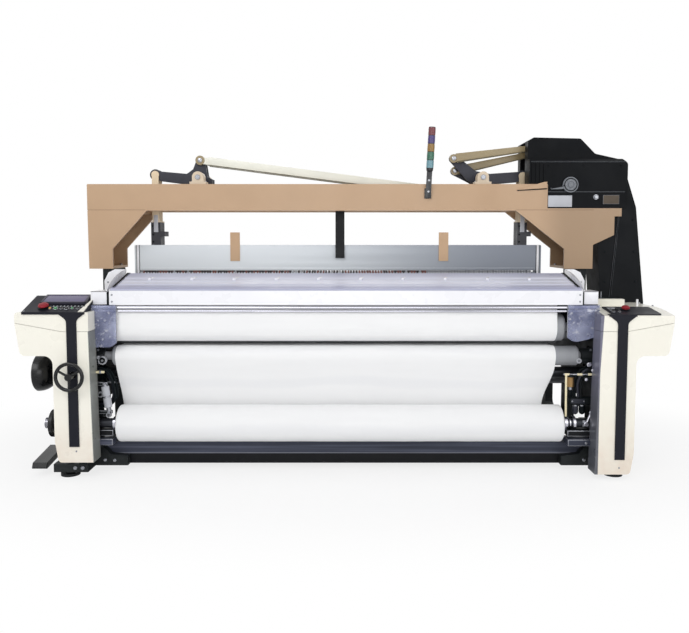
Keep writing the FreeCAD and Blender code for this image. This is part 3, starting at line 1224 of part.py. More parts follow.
def link_slot(name, side, y):
    """Gap in a bracket's top wall that the lifting links pass through."""
    centre = [hub_x + arm_x for hand, hub_x, arm_x, arm_z in crank_arms() if hand == side][0]
    x = (centre - 2 * S.link_room, centre + S.link_room)
    if side == LEFT:
        x = (centre - S.link_room, centre + 2 * S.link_room)
    return box(name, x, y, (S.beam_bottom - 2 * S.bracket_plate, S.beam_bottom + S.cut_margin))


def centre_guide():
    """Upright bar in front of the heald frames, clamped to the back of the front beam."""
    half = S.centre_guide_width / 2
    x = (S.centre_guide_x - half, S.centre_guide_x + half)
    back = S.heald_front_y - S.heald_thick / 2 - S.centre_guide_gap
    bar = box("centre_bar", x, (back - S.centre_guide_thick, back),
              (S.centre_guide_bottom, S.centre_guide_top))
    clamp = box("centre_clamp", (x[0] - 10, x[1] + 10), (S.front_beam_back, back),
                (S.beam_bottom + 8, S.centre_guide_top))
    node("centre_guide", fuse("centre_guide", [bar, clamp]))


# ---------------------------------------------------------------- shedding motion
def heald_frame(number):
    """One heald frame with carrier rods, lifting links and, on the first, its two tabs."""
    name = f"heald_frame_{number + 1}"
    middle = S.heald_front_y + number * S.heald_pitch
    y = (middle - S.heald_thick / 2, middle + S.heald_thick / 2)
    left, right, strut = S.heald_left, S.heald_right, S.heald_strut
    outer = rectangle_between(left, right, S.heald_bottom, S.heald_top)
    window = rectangle_between(left + strut, right - strut, S.heald_rail_low, S.heald_rail_high)
    pieces = [prism(name + "_rails", "XZ", outer, y, holes=[window],
                    rounds=[([0, 1, 2, 3], S.heald_round)])]
    carrier_y = (middle - S.carrier_thick / 2, middle + S.carrier_thick / 2)
    inside = (left + strut - 1, right - strut + 1)
    for place_name, low in (("low", S.heald_rail_low + S.carrier_offset),
                            ("high", S.heald_rail_high - S.carrier_offset - S.carrier_height)):
        z = (low, low + S.carrier_height)
        pieces.append(box(f"{name}_carrier_{place_name}", inside, carrier_y, z))
    if number == 0:
        for tab, x in enumerate((S.tab_left_x, S.tab_right_x)):
            tab_x = (x - S.tab_width / 2, x + S.tab_width / 2)
            pieces.append(box(f"{name}_tab{tab}", tab_x, (y[0] - S.tab_thick, y[0] + 1),
                              (S.tab_bottom, S.tab_top)))
    leads = number % 2 == 0
    holes = []
    for side, hub_x, arm_x, arm_z in crank_arms():
        x, z = hub_x + arm_x, S.hub_z + arm_z
        pieces += lifting_link(f"{name}_link{side + 1}", side, x, z, middle)
        pin_back = middle + S.heald_pitch + S.link_thick / 2
        ends = (middle - S.link_thick / 2, pin_back)
        if leads:
            pieces.append(rod(f"{name}_pin{side + 1}", "Y", (x, z), ends, S.link_pin_radius))
        else:
            holes.append(rod(f"{name}_eye{side + 1}", "Y", (x, z),
                             (middle - S.link_thick, middle + S.link_thick),
                             S.link_pin_radius + S.bearing_gap))
    solid_frame = fuse(name if leads else name + "_solid", pieces)
    node(name, solid_frame if leads else cut(name, solid_frame, holes))


def crank_arms():
    """Lifting arm of each side: side, hub X, arm X and Z from the hub."""
    return ((LEFT, S.left_hub_x, S.left_arm_x, S.left_arm_z),
            (RIGHT, S.right_hub_x, S.right_arm_x, S.right_arm_z))


def lifting_link(name, side, x, z, middle):
    """Strap from the frame's top rail up to the crank, with its clamp and two hooks."""
    y = (middle - S.link_thick / 2, middle + S.link_thick / 2)
    half = S.link_width / 2
    strap = box(name + "_strap", (x - half, x + half), y, (S.heald_top - 40, z))
    eye = rod(name + "_eye", "Y", (x, z), y, S.link_eye)
    clamp_y = (middle - S.clamp_thick / 2, middle + S.clamp_thick / 2)
    half_clamp = S.clamp_width / 2
    top = S.heald_top
    outline = [(x - half_clamp, top), (x + half_clamp, top),
               (x + half_clamp, top + S.hook_low), (x + half_clamp + S.hook_reach, top + S.hook_low),
               (x + half_clamp + S.hook_reach, top + S.hook_low + S.hook_height),
               (x + half_clamp, top + S.hook_low + S.hook_height),
               (x + half_clamp, top + S.clamp_height), (x, top + S.clamp_height - 26),
               (x - half_clamp, top + S.clamp_height)]
    clamp = prism(name + "_clamp", "XZ", outline, clamp_y)
    return [strap, eye, clamp]


def bar_between(name, start, end, half, y):
    """Flat bar with parallel edges from one XZ place to another."""
    run, rise = end[0] - start[0], end[1] - start[1]
    bar = doc.addObject("Part::Box", name)
    bind(bar, Length=distance(run, rise), Width=y[1] - y[0], Height=2 * half)
    angle = direction(run, rise)
    x = start[0] + half * sind(angle)
    z = start[1] - half * cosd(angle)
    return tilted(bar, -angle, x, y[0], z, axis=V(0, 1, 0))


def crank_pieces(name, hub_x, middle):
    """Hub and plate Y range shared by the bell cranks."""
    plate = (middle - S.crank_thick / 2, middle + S.crank_thick / 2)
    hub_y = (middle - S.hub_length / 2, middle + S.hub_length / 2)
    hub = rod(name + "_hub", "Y", (hub_x, S.hub_z), hub_y, S.hub_radius)
    bore = rod(name + "_bore", "Y", (hub_x, S.hub_z), (hub_y[0] - 5, hub_y[1] + 5),
               S.lever_shaft_radius + S.bearing_gap)
    return plate, hub, bore


def arm_slot(name, hub_x, arm_x, arm_z, plate):
    """Slot along the lifting arm: the link's pin rises straight while the arm swings."""
    reach = distance(arm_x, arm_z)
    half = S.link_pin_radius + S.slot_clearance
    angle = direction(arm_x, arm_z)
    y = (plate[0] - 5, plate[1] + 5)
    inner = reach - S.slot_inward
    outer = reach + S.slot_outward
    spots = [(hub_x + r * cosd(angle), S.hub_z + r * sind(angle)) for r in (inner, outer)]
    ends = [rod(f"{name}_slot_end{i}", "Y", spot, y, half) for i, spot in enumerate(spots)]
    return ends + [bar_between(name + "_slot", spots[0], spots[1], half, y)]


def left_crank(letter, middle):
    """Left bell crank: lifting arm to the left, rod arm upward, clamp tail to the right."""
    name = f"left_crank_{letter}"
    hub_x, hub_z = S.left_hub_x, S.hub_z
    plate, hub, bore = crank_pieces(name, hub_x, middle)
    arm = (hub_x + S.left_arm_x, hub_z + S.left_arm_z)
    top = (hub_x + S.left_top_x, hub_z + S.left_top_z)
    eye, half = S.eye_radius, S.arm_half
    web = [
        (arm[0], arm[1] - half), (hub_x - S.crank_belly_x, hub_z - half - S.crank_belly),
        (hub_x + S.crank_tail, hub_z - half), (hub_x + S.crank_tail, hub_z - S.crank_tail_drop),
        (hub_x + half, hub_z + S.crank_tail_rise), (top[0] + eye, top[1]), (top[0] - eye, top[1]),
        (hub_x - S.crank_neck_x, hub_z + half + S.crank_neck_rise),
        (hub_x - S.crank_shoulder_x, hub_z + half), (arm[0], arm[1] + half - S.crank_belly),
    ]
    pieces = [hub, prism(name + "_web", "XZ", web, plate, rounds=[([4, 7, 8], S.crank_round)]),
              rod(name + "_arm_eye", "Y", arm, plate, half + 2),
              rod(name + "_top_eye", "Y", top, plate, eye),
              rod(name + "_pin", "Y", top, (plate[0] - S.rod_thick - 2 * S.rod_side_gap, plate[0] + 1),
                  S.rod_pin_radius)]
    slot = arm_slot(name, hub_x, S.left_arm_x, S.left_arm_z, plate)
    node(name, cut(name, fuse(name + "_solid", pieces), [bore, *slot]))


def dobby_arm(letter):
    """Place of a right crank's upper pin, from its hub: the back one sits lower."""
    return (S.right_top_x, S.right_top_z) if letter == "a" else (S.right_top_b_x, S.right_top_b_z)


def right_crank(letter, middle):
    """Right bell crank: lifting arm to the right, dobby arm up left, rod arm downward."""
    name = f"right_crank_{letter}"
    hub_x, hub_z = S.right_hub_x, S.hub_z
    plate, hub, bore = crank_pieces(name, hub_x, middle)
    arm = (hub_x + S.right_arm_x, hub_z + S.right_arm_z)
    low = (hub_x + S.right_low_x, hub_z + S.right_low_z)
    top_x, top_z = dobby_arm(letter)
    top = (hub_x + top_x, hub_z + top_z)
    eye, half = S.eye_radius, S.arm_half
    web = [
        (arm[0], arm[1] - half), (hub_x + 50, hub_z - half), (low[0] + eye, low[1]),
        (low[0] - eye, low[1]), (hub_x - half, hub_z - half), (hub_x - 66, hub_z - 10),
        (top[0] - eye * 0.6, top[1] - eye * 0.8), (top[0] + eye * 0.6, top[1] + eye * 0.8),
        (hub_x - 20, hub_z + half + 16), (hub_x + 60, hub_z + half), (arm[0], arm[1] + half - 4),
    ]
    pin_y = (plate[0] - S.rod_thick - 2 * S.rod_side_gap, plate[0] + 1)
    pieces = [hub, prism(name + "_web", "XZ", web, plate, rounds=[([1, 4, 8], 10)]),
              rod(name + "_arm_eye", "Y", arm, plate, half + 2),
              rod(name + "_low_eye", "Y", low, plate, eye),
              rod(name + "_top_eye", "Y", top, plate, eye),
              rod(name + "_low_pin", "Y", low, pin_y, S.rod_pin_radius),
              rod(name + "_top_pin", "Y", top, pin_y, S.rod_pin_radius)]
    slot = arm_slot(name, hub_x, S.right_arm_x, S.right_arm_z, plate)
    node(name, cut(name, fuse(name + "_solid", pieces), [bore, *slot]))


def long_rod(letter, middle):
    """Pull rod from the left crank's upper arm to the right crank's lower arm."""
    name = f"long_rod_{letter}"
    back = middle - S.crank_thick / 2 - S.rod_side_gap
    y = (back - S.rod_thick, back)
    start = (S.left_hub_x + S.left_top_x, S.hub_z + S.left_top_z)
    end = (S.right_hub_x + S.right_low_x, S.hub_z + S.right_low_z)
    pieces = [bar_between(name + "_bar", start, end, S.rod_depth / 2, y),
              rod(name + "_left_eye", "Y", start, y, S.rod_eye),
              rod(name + "_right_eye", "Y", end, y, S.rod_eye + S.open_eye_clearance / 2)]
    room = (y[0] - 5, y[1] + 5)
    bores = [rod(name + "_left_bore", "Y", start, room, S.rod_pin_radius + S.bearing_gap),
             rod(name + "_right_bore", "Y", end, room, S.rod_pin_radius + S.open_eye_clearance)]
    node(name, cut(name, fuse(name + "_solid", pieces), bores))


def dobby_rod(letter, middle):
    """Rod from the right crank into the dobby, slimmer at its inner end."""
    name = f"dobby_rod_{letter}"
    back = middle - S.crank_thick / 2 - S.rod_side_gap
    y = (back - S.rod_thick, back)
    top_x, top_z = dobby_arm(letter)
    start = (S.right_hub_x + top_x, S.hub_z + top_z)
    end = (S.dobby_end_x, S.dobby_end_z if letter == "a" else S.dobby_end_b_z)
    pieces = [bar_between(name + "_bar", start, end, S.rod_tail_depth / 2, y),
              rod(name + "_eye_disc", "Y", start, y, S.rod_eye),
              rod(name + "_tail", "Y", end, y, S.rod_tail_depth / 2),
              clamp_block(name, start, end, y)]
    bore = rod(name + "_bore", "Y", start, (y[0] - 5, y[1] + 5), S.rod_pin_radius + S.bearing_gap)
    node(name, cut(name, fuse(name + "_solid", pieces), [bore]))


def clamp_block(name, start, end, y):
    """Clamp over the first part of a rod, deeper than the rod."""
    stop = (start[0] + (end[0] - start[0]) * S.rod_clamp_share,
            start[1] + (end[1] - start[1]) * S.rod_clamp_share)
    return bar_between(name + "_clamp", start, stop, S.rod_depth / 2, y)


def lever_bearings():
    """Pillow blocks on both gantry beams and the two lever shafts that they hold."""
    blocks, shafts = [], []
    ranges = ((S.gantry_front + S.block_inset, S.front_beam_back - S.block_inset),
              (S.rear_beam_front + S.block_inset / 2, S.gantry_back - S.block_inset / 2))
    for side, hub_x in ((LEFT, S.left_hub_x), (RIGHT, S.right_hub_x)):
        for number, y in enumerate(ranges):
            name = f"block{side + 1}{number}"
            half = S.block_foot / 2
            foot = box(name + "_foot", (hub_x - half, hub_x + half), y,
                       (S.beam_top, S.beam_top + S.block_foot_height))
            neck = box(name + "_neck", (hub_x - S.block_radius, hub_x + S.block_radius), y,
                       (S.beam_top, S.hub_z))
            arch = rod(name + "_arch", "Y", (hub_x, S.hub_z), y, S.block_radius)
            bore = rod(name + "_bore", "Y", (hub_x, S.hub_z), (y[0] - 5, y[1] + 5),
                       S.lever_shaft_radius + S.bearing_gap)
            blocks.append(cut(name, fuse(name + "_solid", [foot, neck, arch]), [bore]))
        shafts.append(rod(f"lever_shaft{side + 1}", "Y", (hub_x, S.hub_z),
                          (S.gantry_front + 2, S.gantry_back), S.lever_shaft_radius))
    node("shaft_blocks", group("shaft_blocks", blocks))
    node("lever_shafts", group("lever_shafts", shafts))


def shedding_motion():
    for number in range(4):
        heald_frame(number)
    for letter, number in (("a", 0), ("b", 2)):
        middle = S.heald_front_y + (size(number) + 0.5) * S.heald_pitch
        left_crank(letter, middle)
        right_crank(letter, middle)
        long_rod(letter, middle)
        dobby_rod(letter, middle)
    lever_bearings()


# ---------------------------------------------------------------- dobby housing and belt cover
def dobby_housing():
    """Moulded housing: front box, set-back upper part, ribs, side pocket for the rods."""
    outline = [
        (S.dobby_left, S.beam_top), (S.beam_right, S.beam_top), (S.beam_right, S.shelf_top),
        (S.dobby_right, S.shelf_top), (S.dobby_right, S.dobby_right_top),
        (S.dobby_end_top_x, S.dobby_end_top_z), (S.dobby_step_x, S.dobby_step_z),
        (S.dobby_peak_right, S.dobby_peak_right_z), (S.dobby_peak_left, S.dobby_peak),
        (S.dobby_left, S.dobby_left_top),
    ]
    front = S.gantry_front
    block = prism("dobby_block", "XZ", outline, (front, S.dobby_back),
                  rounds=[([4, 5, 7], S.dobby_round), ([6], 30)])
    setback_z = (S.dobby_shoulder_z, S.dobby_peak + 10)
    setback = box("dobby_setback", (S.dobby_left - 5, S.dobby_right + 5),
                  (front - 5, front + S.dobby_setback), setback_z)
    chamfer = prism("dobby_chamfer", "YZ", [
        (front - 1, S.dobby_shoulder_z - 16), (front + 18, S.dobby_shoulder_z + 1),
        (front - 1, S.dobby_shoulder_z + 1)], (S.dobby_left - 5, S.dobby_right + 5))
    rods_front = S.heald_front_y + S.heald_pitch / 2 - S.crank_thick / 2 - S.rod_thick
    links_back = S.heald_front_y + 3 * S.heald_pitch + S.link_thick / 2
    pocket = box("dobby_pocket", (S.dobby_left - S.cut_margin, S.pocket_end),
                 (rods_front - S.pocket_side, links_back + S.pocket_side),
                 (S.beam_top - S.cut_margin, S.pocket_high))
    pieces = [cut("dobby_shell", block, [setback, chamfer, pocket])]
    for number in range(int(S.rib_count.value)):
        x = S.rib_start + number * S.rib_pitch
        pieces.append(box(f"dobby_rib{number}", (x, x + S.rib_width),
                          (front - S.rib_height, front + 1),
                          (S.beam_top + 4, S.dobby_shoulder_z - 24)))
    cap = rod("dobby_cap", "Y", (S.cap_x, S.cap_z), (front - S.cap_height, front + 1), S.cap_radius)
    hub = rod("dobby_cap_hub", "Y", (S.cap_x, S.cap_z), (front - S.cap_height - 6, front),
              S.cap_radius * 0.4)
    handle = bar_between("dobby_cap_lever", (S.cap_x, S.cap_z),
                         (S.cap_x - S.cap_lever, S.cap_z - 18), S.cap_lever_width / 2,
                         (front - S.cap_height - 3, front - S.cap_height + 3))
    pieces += [cap, hub, handle]
    node("dobby_housing", fuse("dobby_housing", pieces))


def belt_cover():
    """Tapered cover of the drive belt, from the dobby down behind the right column."""
    outline = [
        (S.dobby_right, S.shelf_top), (S.dobby_right, S.dobby_right_top - 34),
        (S.belt_top_right, S.belt_top_right_z), (S.belt_reach, S.belt_waist_z),
        (S.belt_reach, S.belt_bottom + 70), (S.belt_reach - 60, S.belt_bottom),
        (S.belt_inner + 45, S.belt_bottom), (S.belt_inner, S.belt_bottom + 70),
        (S.belt_inner, S.belt_waist_z), (S.belt_neck_x, S.belt_neck_z),
        (S.belt_head_left, S.shelf_top),
    ]
    block = prism("belt_block", "XZ", outline, (S.belt_front, S.belt_back),
                  rounds=[([2, 4, 5, 6, 7], S.belt_round)])
    pieces = [block]
    rise = S.belt_top_right_z - S.belt_waist_z
    lean = S.belt_top_right - S.belt_reach
    for number in range(3):
        share = size(number) * 0.36 + 0.12
        z = S.belt_top_right_z - rise * share
        x = S.belt_top_right - lean * share
        pieces.append(rod(f"belt_stud{number}", "X", (S.belt_front + 30, z),
                          (x - 20, x + S.belt_stud_height - 3), S.belt_stud_radius))
    node("belt_cover", fuse("belt_cover", pieces))


# ---------------------------------------------------------------- signal tower and motor
def signal_tower():
    """Tilted pole with a stack of lenses on a plate bolted to the front beam."""
    lens, pole, groove = S.lens_radius, S.tower_pole_radius, S.lens_groove
    base = S.tower_base_z
    total = (S.tower_top - base) / cosd(S.tower_tilt)
    stack = S.lens_count * S.lens_height
    profile = [(0, 0), (0, pole), (total - stack, pole)]
    for number in range(int(S.lens_count.value)):
        low = total - stack + number * S.lens_height
        profile += [(low, lens), (low + S.lens_height - groove, lens),
                    (low + S.lens_height - groove, lens - 3)]
        if number + 1 < int(S.lens_count.value):
            profile.append((low + S.lens_height, lens - 3))
    profile += [(total, lens - 3), (total, 0)]
    body, sketch = body_with_sketch("tower_mast", "XZ", [[(r, along) for along, r in profile]])
    spin = body.newObject("PartDesign::Revolution", "tower_turn")
    spin.Profile = sketch
    spin.ReferenceAxis = (sketch, ["V_Axis"])
    spin.Angle = 360
    axis_y = S.gantry_front - S.tower_plate_thick - pole + S.tower_sink
    tilted(body, S.tower_tilt, S.tower_x, axis_y, base, axis=V(0, 1, 0))
    half = S.tower_plate_width / 2
    plate = box("tower_plate", (S.tower_x - half, S.tower_x + half),
                (S.gantry_front - S.tower_plate_thick, S.gantry_front),
                (base - 6, base - 6 + S.tower_plate_height))
    clip = box("tower_clip", (S.tower_x - S.tower_seat / 2, S.tower_x + S.tower_seat / 2),
               (axis_y - 4, S.gantry_front - 1), (base - 4, base + 20))
    node("signal_tower", fuse("signal_tower", [body, plate, clip]))


def main_motor():
    """Finned flange motor on the outside of the right side frame."""
    radius, root = S.motor_radius, S.motor_radius - S.motor_fin_depth
    start = frame_outer + S.motor_flange_thick
    count = int(S.motor_fin_count.value)
    pitch = S.motor_length / (2 * S.motor_fin_count + 1)
    profile = [(frame_outer, 0), (frame_outer, S.motor_flange_radius), (start, S.motor_flange_radius)]
    profile.append((start, root))
    for number in range(count):
        low = start + (2 * size(number) + 1) * pitch
        profile += [(low, root), (low, radius), (low + pitch, radius), (low + pitch, root)]
    end = start + S.motor_length
    profile += [(end, root), (end, radius - 2), (end + S.motor_cowl_length - 8, radius - 2),
                (end + S.motor_cowl_length, radius - 12), (end + S.motor_cowl_length, 0)]
    node("main_motor", turned("main_motor", "X", (S.motor_y, S.motor_z), profile))


# ---------------------------------------------------------------- build, check and write
side_frame(LEFT, "side_frame_left", left_tower_top)
side_frame(RIGHT, "side_frame_right", right_tower_top)
levelling_feet()
rails()
breast_beam()
fascia()
splash_cover()
guide_bars()
side_guards()
roller("take_up_roller", S.take_up_y, S.take_up_z, S.take_up_radius, S.roller_left, S.roller_right,
       S.journal_radius)
roller("press_roller", press_y, press_z, S.press_radius, S.roller_left, S.roller_right,
       S.journal_radius)
roller("guide_roller", S.guide_y, S.guide_z, S.guide_radius, S.roller_left, S.guide_right,
       S.journal_radius)
roller("back_rest_roller", S.rest_y, rest_z, S.rest_radius, S.roller_left, S.roller_right,
       S.journal_radius)
cloth_roll()
cloth_and_warp()
warp_beam()
sley_and_reed()
lower_cover(LEFT, "left_lower_cover", S.left_cover_bottom)
lower_cover(RIGHT, "right_lower_cover", S.right_cover_bottom)
upper_cover(LEFT, "left_upper_cover", S.left_cover_top, S.left_cover_top)
upper_cover(RIGHT, "right_upper_cover", S.right_cover_front_top, S.right_cover_top)
left_console()
right_console()
push_buttons()
handwheel()
main_shaft()
pedal()
gantry()
centre_guide()
shedding_motion()
dobby_housing()
belt_cover()
signal_tower()
main_motor()

doc.recompute()
for item in doc.Objects:
    if "Invalid" in item.State or "Error" in item.State:
        raise RuntimeError(f"{item.Label} failed: {item.State}")
for name, item in NODES.items():
    if item.Shape.isNull() or not item.Shape.isValid():
        raise RuntimeError(f"{name} has no valid shape")

os.makedirs("parts", exist_ok=True)
for name, item in NODES.items():
    item.Shape.exportStep(f"parts/{name}.step")
print(len(NODES), "sub-parts written")
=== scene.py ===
import math
import random

import bmesh
import bpy
from mathutils import Matrix, Vector, noise


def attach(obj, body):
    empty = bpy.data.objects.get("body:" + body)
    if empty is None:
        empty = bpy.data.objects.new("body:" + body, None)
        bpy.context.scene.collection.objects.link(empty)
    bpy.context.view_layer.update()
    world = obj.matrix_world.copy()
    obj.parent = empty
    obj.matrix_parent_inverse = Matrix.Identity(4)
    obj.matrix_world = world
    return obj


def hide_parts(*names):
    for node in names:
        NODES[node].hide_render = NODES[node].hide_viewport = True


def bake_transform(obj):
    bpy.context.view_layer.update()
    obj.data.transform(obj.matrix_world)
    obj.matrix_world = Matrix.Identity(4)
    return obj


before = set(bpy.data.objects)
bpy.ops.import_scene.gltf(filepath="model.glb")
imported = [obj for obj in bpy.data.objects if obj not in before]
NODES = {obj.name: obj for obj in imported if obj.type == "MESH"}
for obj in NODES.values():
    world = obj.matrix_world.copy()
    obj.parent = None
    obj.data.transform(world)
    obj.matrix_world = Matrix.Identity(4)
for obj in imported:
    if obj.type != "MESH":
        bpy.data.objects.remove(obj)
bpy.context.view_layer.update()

MM = 0.001
LEFT, RIGHT = -1, 1
FORWARD, UPWARD = (0, -1, 0), (0, 0, 1)
RNG = random.Random(11)
FRAME = "machine_frame"


# ---------------------------------------------------------------- materials
def srgb(colour):
    """Linear colour of an 8-bit sRGB one."""
    shares = [value / 255 for value in colour]
    return tuple(share / 12.92 if share <= 0.04045 else ((share + 0.055) / 1.055) ** 2.4 for share in shares)


class Field:
    """A value that varies over a surface; sums, products and comparisons add shader nodes."""

    def __init__(self, finish, socket):
        self.finish = finish
        self.socket = socket

    def math(self, operation, other=0):
        return self.finish.field("ShaderNodeMath", 0, {0: self, 1: other}, operation=operation)

    def __add__(self, other):
        return self.math("ADD", other)

    def __mul__(self, other):
        return self.math("MULTIPLY", other)

    def __lt__(self, other):
        return self.math("LESS_THAN", other)

    def __gt__(self, other):
        return self.math("GREATER_THAN", other)

    def between(self, low, high):
        """1 where the value lies between low and high, else 0."""
        return (self > low) * (self < high)

    def remap(self, low, high, start=0, end=1):
        """A smooth step from start to end as the value goes from low to high."""
        ranges = {"From Min": low, "From Max": high, "To Min": start, "To Max": end, "Value": self}
        return self.finish.field("ShaderNodeMapRange", "Result", ranges, interpolation_type="SMOOTHSTEP")


class Finish:
    """A procedural material: a Principled shader with layers of colour, grain and roughness."""

    def __init__(self, name, colour, roughness, metallic=0, coat=0, specular=0.5):
        self.material = bpy.data.materials.new(name)
        self.material.use_nodes = True
        self.tree = self.material.node_tree
        self.shader = self.tree.nodes["Principled BSDF"]
        self.colour = (*srgb(colour), 1)
        self.roughness = roughness
        self.source = None
        self.relief = None
        self.set("Base Color", self.colour).set("Roughness", roughness).set("Metallic", metallic)
        self.set("Coat Weight", coat).set("Coat Roughness", 0.12).set("Specular IOR Level", specular)
        self.at = self.node("ShaderNodeTexCoord").outputs["Object"]

    def set(self, name, value):
        """Feeds an input of the shader."""
        self.feed(self.shader.inputs[name], value)
        return self

    def node(self, kind, inputs=None, **settings):
        """Adds a node with its settings and feeds its inputs."""
        made = self.tree.nodes.new(kind)
        for name, value in settings.items():
            setattr(made, name, value)
        for name, value in (inputs or {}).items():
            self.feed(made.inputs[name], value)
        return made

    def field(self, kind, output, inputs=None, **settings):
        """Adds a node and gives one of its outputs as a field."""
        return Field(self, self.node(kind, inputs, **settings).outputs[output])

    def feed(self, target, value):
        value = getattr(value, "socket", value)
        if isinstance(value, bpy.types.NodeSocket):
            self.tree.links.new(value, target)
        else:
            target.default_value = value

    def axis(self, letter):
        return self.field("ShaderNodeSeparateXYZ", letter, {0: self.at})

    def mapped(self, name, value):
        """The place on the surface after a mapping with its Scale or Location set."""
        return self.node("ShaderNodeMapping", {name: value, "Vector": self.at}).outputs["Vector"]

    def noise(self, scale, stretch=(1, 1, 1), detail=4):
        inputs = {"Scale": scale, "Detail": detail, "Vector": self.mapped("Scale", stretch)}
        return self.field("ShaderNodeTexNoise", "Fac", inputs)

    def waves(self, period, direction, distortion=0):
        """Parallel bands with a period in metres along X, Y or Z."""
        inputs = {"Scale": math.pi / (10 * period), "Distortion": distortion, "Vector": self.at}
        return self.field("ShaderNodeTexWave", "Fac", inputs, wave_type="BANDS", bands_direction=direction)

    def lay(self, factor, colour):
        """Lays a linear colour over the present one where the factor is 1."""
        inputs = {0: factor, 6: self.source or self.colour, 7: (*colour, 1)}
        self.source = self.node("ShaderNodeMix", inputs, data_type="RGBA").outputs[2]
        return self.set("Base Color", self.source)

    def tint(self, factor, colour):
        return self.lay(factor, srgb(colour))

    def vary(self, amount, scale=5, stretch=(1, 1, 1), towards=None):
        """Uneven colour: patches go towards a darker or given colour by the amount."""
        other = srgb(towards) if towards else tuple(channel * 0.55 for channel in self.colour[:3])
        return self.lay(self.noise(scale, stretch).remap(0.35, 0.75, 0, amount), other)

    def uneven(self, spread, scale=9, stretch=(1, 1, 1)):
        """Roughness that wanders by the spread to both sides."""
        low, high = max(0.02, self.roughness - spread), min(1, self.roughness + spread)
        return self.set("Roughness", self.noise(scale, stretch).remap(0.3, 0.7, low, high))

    def raised(self, height, depth, strength=0.6):
        """Relief from a height between 0 and 1 and its depth in metres."""
        inputs = {"Strength": strength, "Distance": depth, "Height": height}
        if self.relief:
            inputs["Normal"] = self.relief
        self.relief = self.node("ShaderNodeBump", inputs).outputs["Normal"]
        return self.set("Normal", self.relief)

    def grain(self, scale, depth, stretch=(1, 1, 1), strength=0.5):
        return self.raised(self.noise(scale, stretch, 2), depth, strength)

    def floor_tint(self, top, colour, amount):
        """A tint in patches that grows towards the floor, below the height top: pale dust on the dark
        castings and belt cover, a darker pinkish beige on the cream covers.
        """
        patches = self.noise(14).remap(0.25, 0.75, 0.45, 1)
        return self.tint(self.axis("Z").remap(0, top, 1, 0) * patches * amount, colour)


def paint(name, colour, roughness, coat=0.15, vary=0.05, grain=0.00012, specular=0.5):
    finish = Finish(name, colour, roughness, coat=coat, specular=specular)
    return finish.vary(vary).uneven(0.06).grain(420, grain)


def steel(name, colour, roughness, along=(1, 1, 1)):
    """Ground or drawn metal, its fine lines stretched along one axis."""
    finish = Finish(name, colour, roughness, metallic=1)
    return finish.vary(0.12, 6, along).uneven(0.08, 30, along).grain(260, 0.00008, along, 0.4)


CREAM = (246, 243, 231)
TAN = (190, 158, 126)
ALONG_X, ALONG_Y = (0.02, 1, 1), (1, 0.02, 1)

cream = paint("cover_cream", CREAM, 0.32, coat=0.35, vary=0.03)
column = paint("column_cream", CREAM, 0.32, coat=0.35, vary=0.03)
for wall in (cream, column):
    wall.tint(wall.noise(1.2).remap(0.4, 0.8, 0, 0.25), (240, 233, 214))
    # the cream covers turn a darker pinkish beige in patches towards the floor
    wall.floor_tint(0.42, (226, 206, 188), 0.7)
# the columns' inner flanks lie in the shade
inner = column.axis("X").math("ABSOLUTE") + column.axis("Z") * -0.0178 < 1.2722
column.tint(inner * (column.axis("Y") > -0.826), (222, 220, 210))
column.tint(inner * (column.axis("X") < 0), (136, 138, 134))
for wall in (cream, column):
    x, z = wall.axis("X"), wall.axis("Z")
    edge = (z * 0.0488 + 1.2591).math("MAXIMUM", 1.2855)
    strip = (x < edge) * (x > 1.2) * (z < 0.864)
    # painted shade with a lavender cast on the right column's inner flank
    wall.tint(strip, (112, 112, 130))
    # painted shade, darker still towards the floor
    wall.tint(strip * z.remap(0.62, 0.3, 0, 0.8), (86, 88, 92))

console = paint("console_black", (24, 25, 34), 0.46, coat=0, vary=0.2, grain=0.0003, specular=0.2)
strip_black = paint("trim_black", (16, 22, 25), 0.5, coat=0, vary=0.12, grain=0.0002, specular=0.09)
tan = paint("gantry_tan", TAN, 0.45, coat=0.1, vary=0.10)
tan.tint(tan.noise(2.2, (1, 1, 0.5)).remap(0.45, 0.8, 0, 0.35), (172, 139, 106))
# painted shade: the tan darkens towards the right bracket, beyond x 1.05 m
tan.tint(tan.axis("X").remap(1.05, 1.25, 0, 0.75), (154, 128, 100)).grain(1500, 0.00006)
fascia_white = paint("fascia_white", (243, 243, 247), 0.28, coat=0.4, vary=0.02)
lavender = Finish("splash_lavender", (224, 226, 240), 0.46, coat=0.1, specular=0.4)
# painted shade: the sloping cover darkens towards its back and front edges, which leaves a painted highlight
# band across its middle
lavender.tint(lavender.axis("Y").remap(-0.56, -0.44, 0, 0.85), (182, 184, 206))
lavender.tint(lavender.axis("Y").remap(-0.62, -0.70, 0, 0.85), (166, 168, 194))
lavender.vary(0.35, 2.5, (0.3, 6, 3), (190, 193, 216)).uneven(0.08).grain(90, 0.0002, ALONG_X)
casting = Finish("frame_casting", (22, 26, 28), 0.5, specular=0.18)
casting.vary(0.35, 7, towards=(44, 47, 49)).uneven(0.12).grain(160, 0.0005)
casting.floor_tint(0.16, (70, 72, 70), 0.25)

rail_black = Finish("rail_black", (14, 15, 19), 0.4, specular=0.2)
height = rail_black.axis("Z")
# painted highlight on the rails' upper part: a bluish lit band with streaks of painted reflection, and a
# light painted highlight line at its lower edge
upper = (height < 0.2) * (height > 0.088)
rail_black.tint(upper * 0.95, (62, 66, 80))
rail_black.tint(upper * rail_black.noise(6, (0.15, 1, 9)).remap(0.42, 0.75, 0, 0.7), (104, 108, 126))
rail_black.tint(height.between(0.083, 0.088) * 0.8, (132, 134, 146))
rail_black.vary(0.3, 3, (0.3, 1, 1), (8, 9, 12)).uneven(0.08).grain(140, 0.0002)

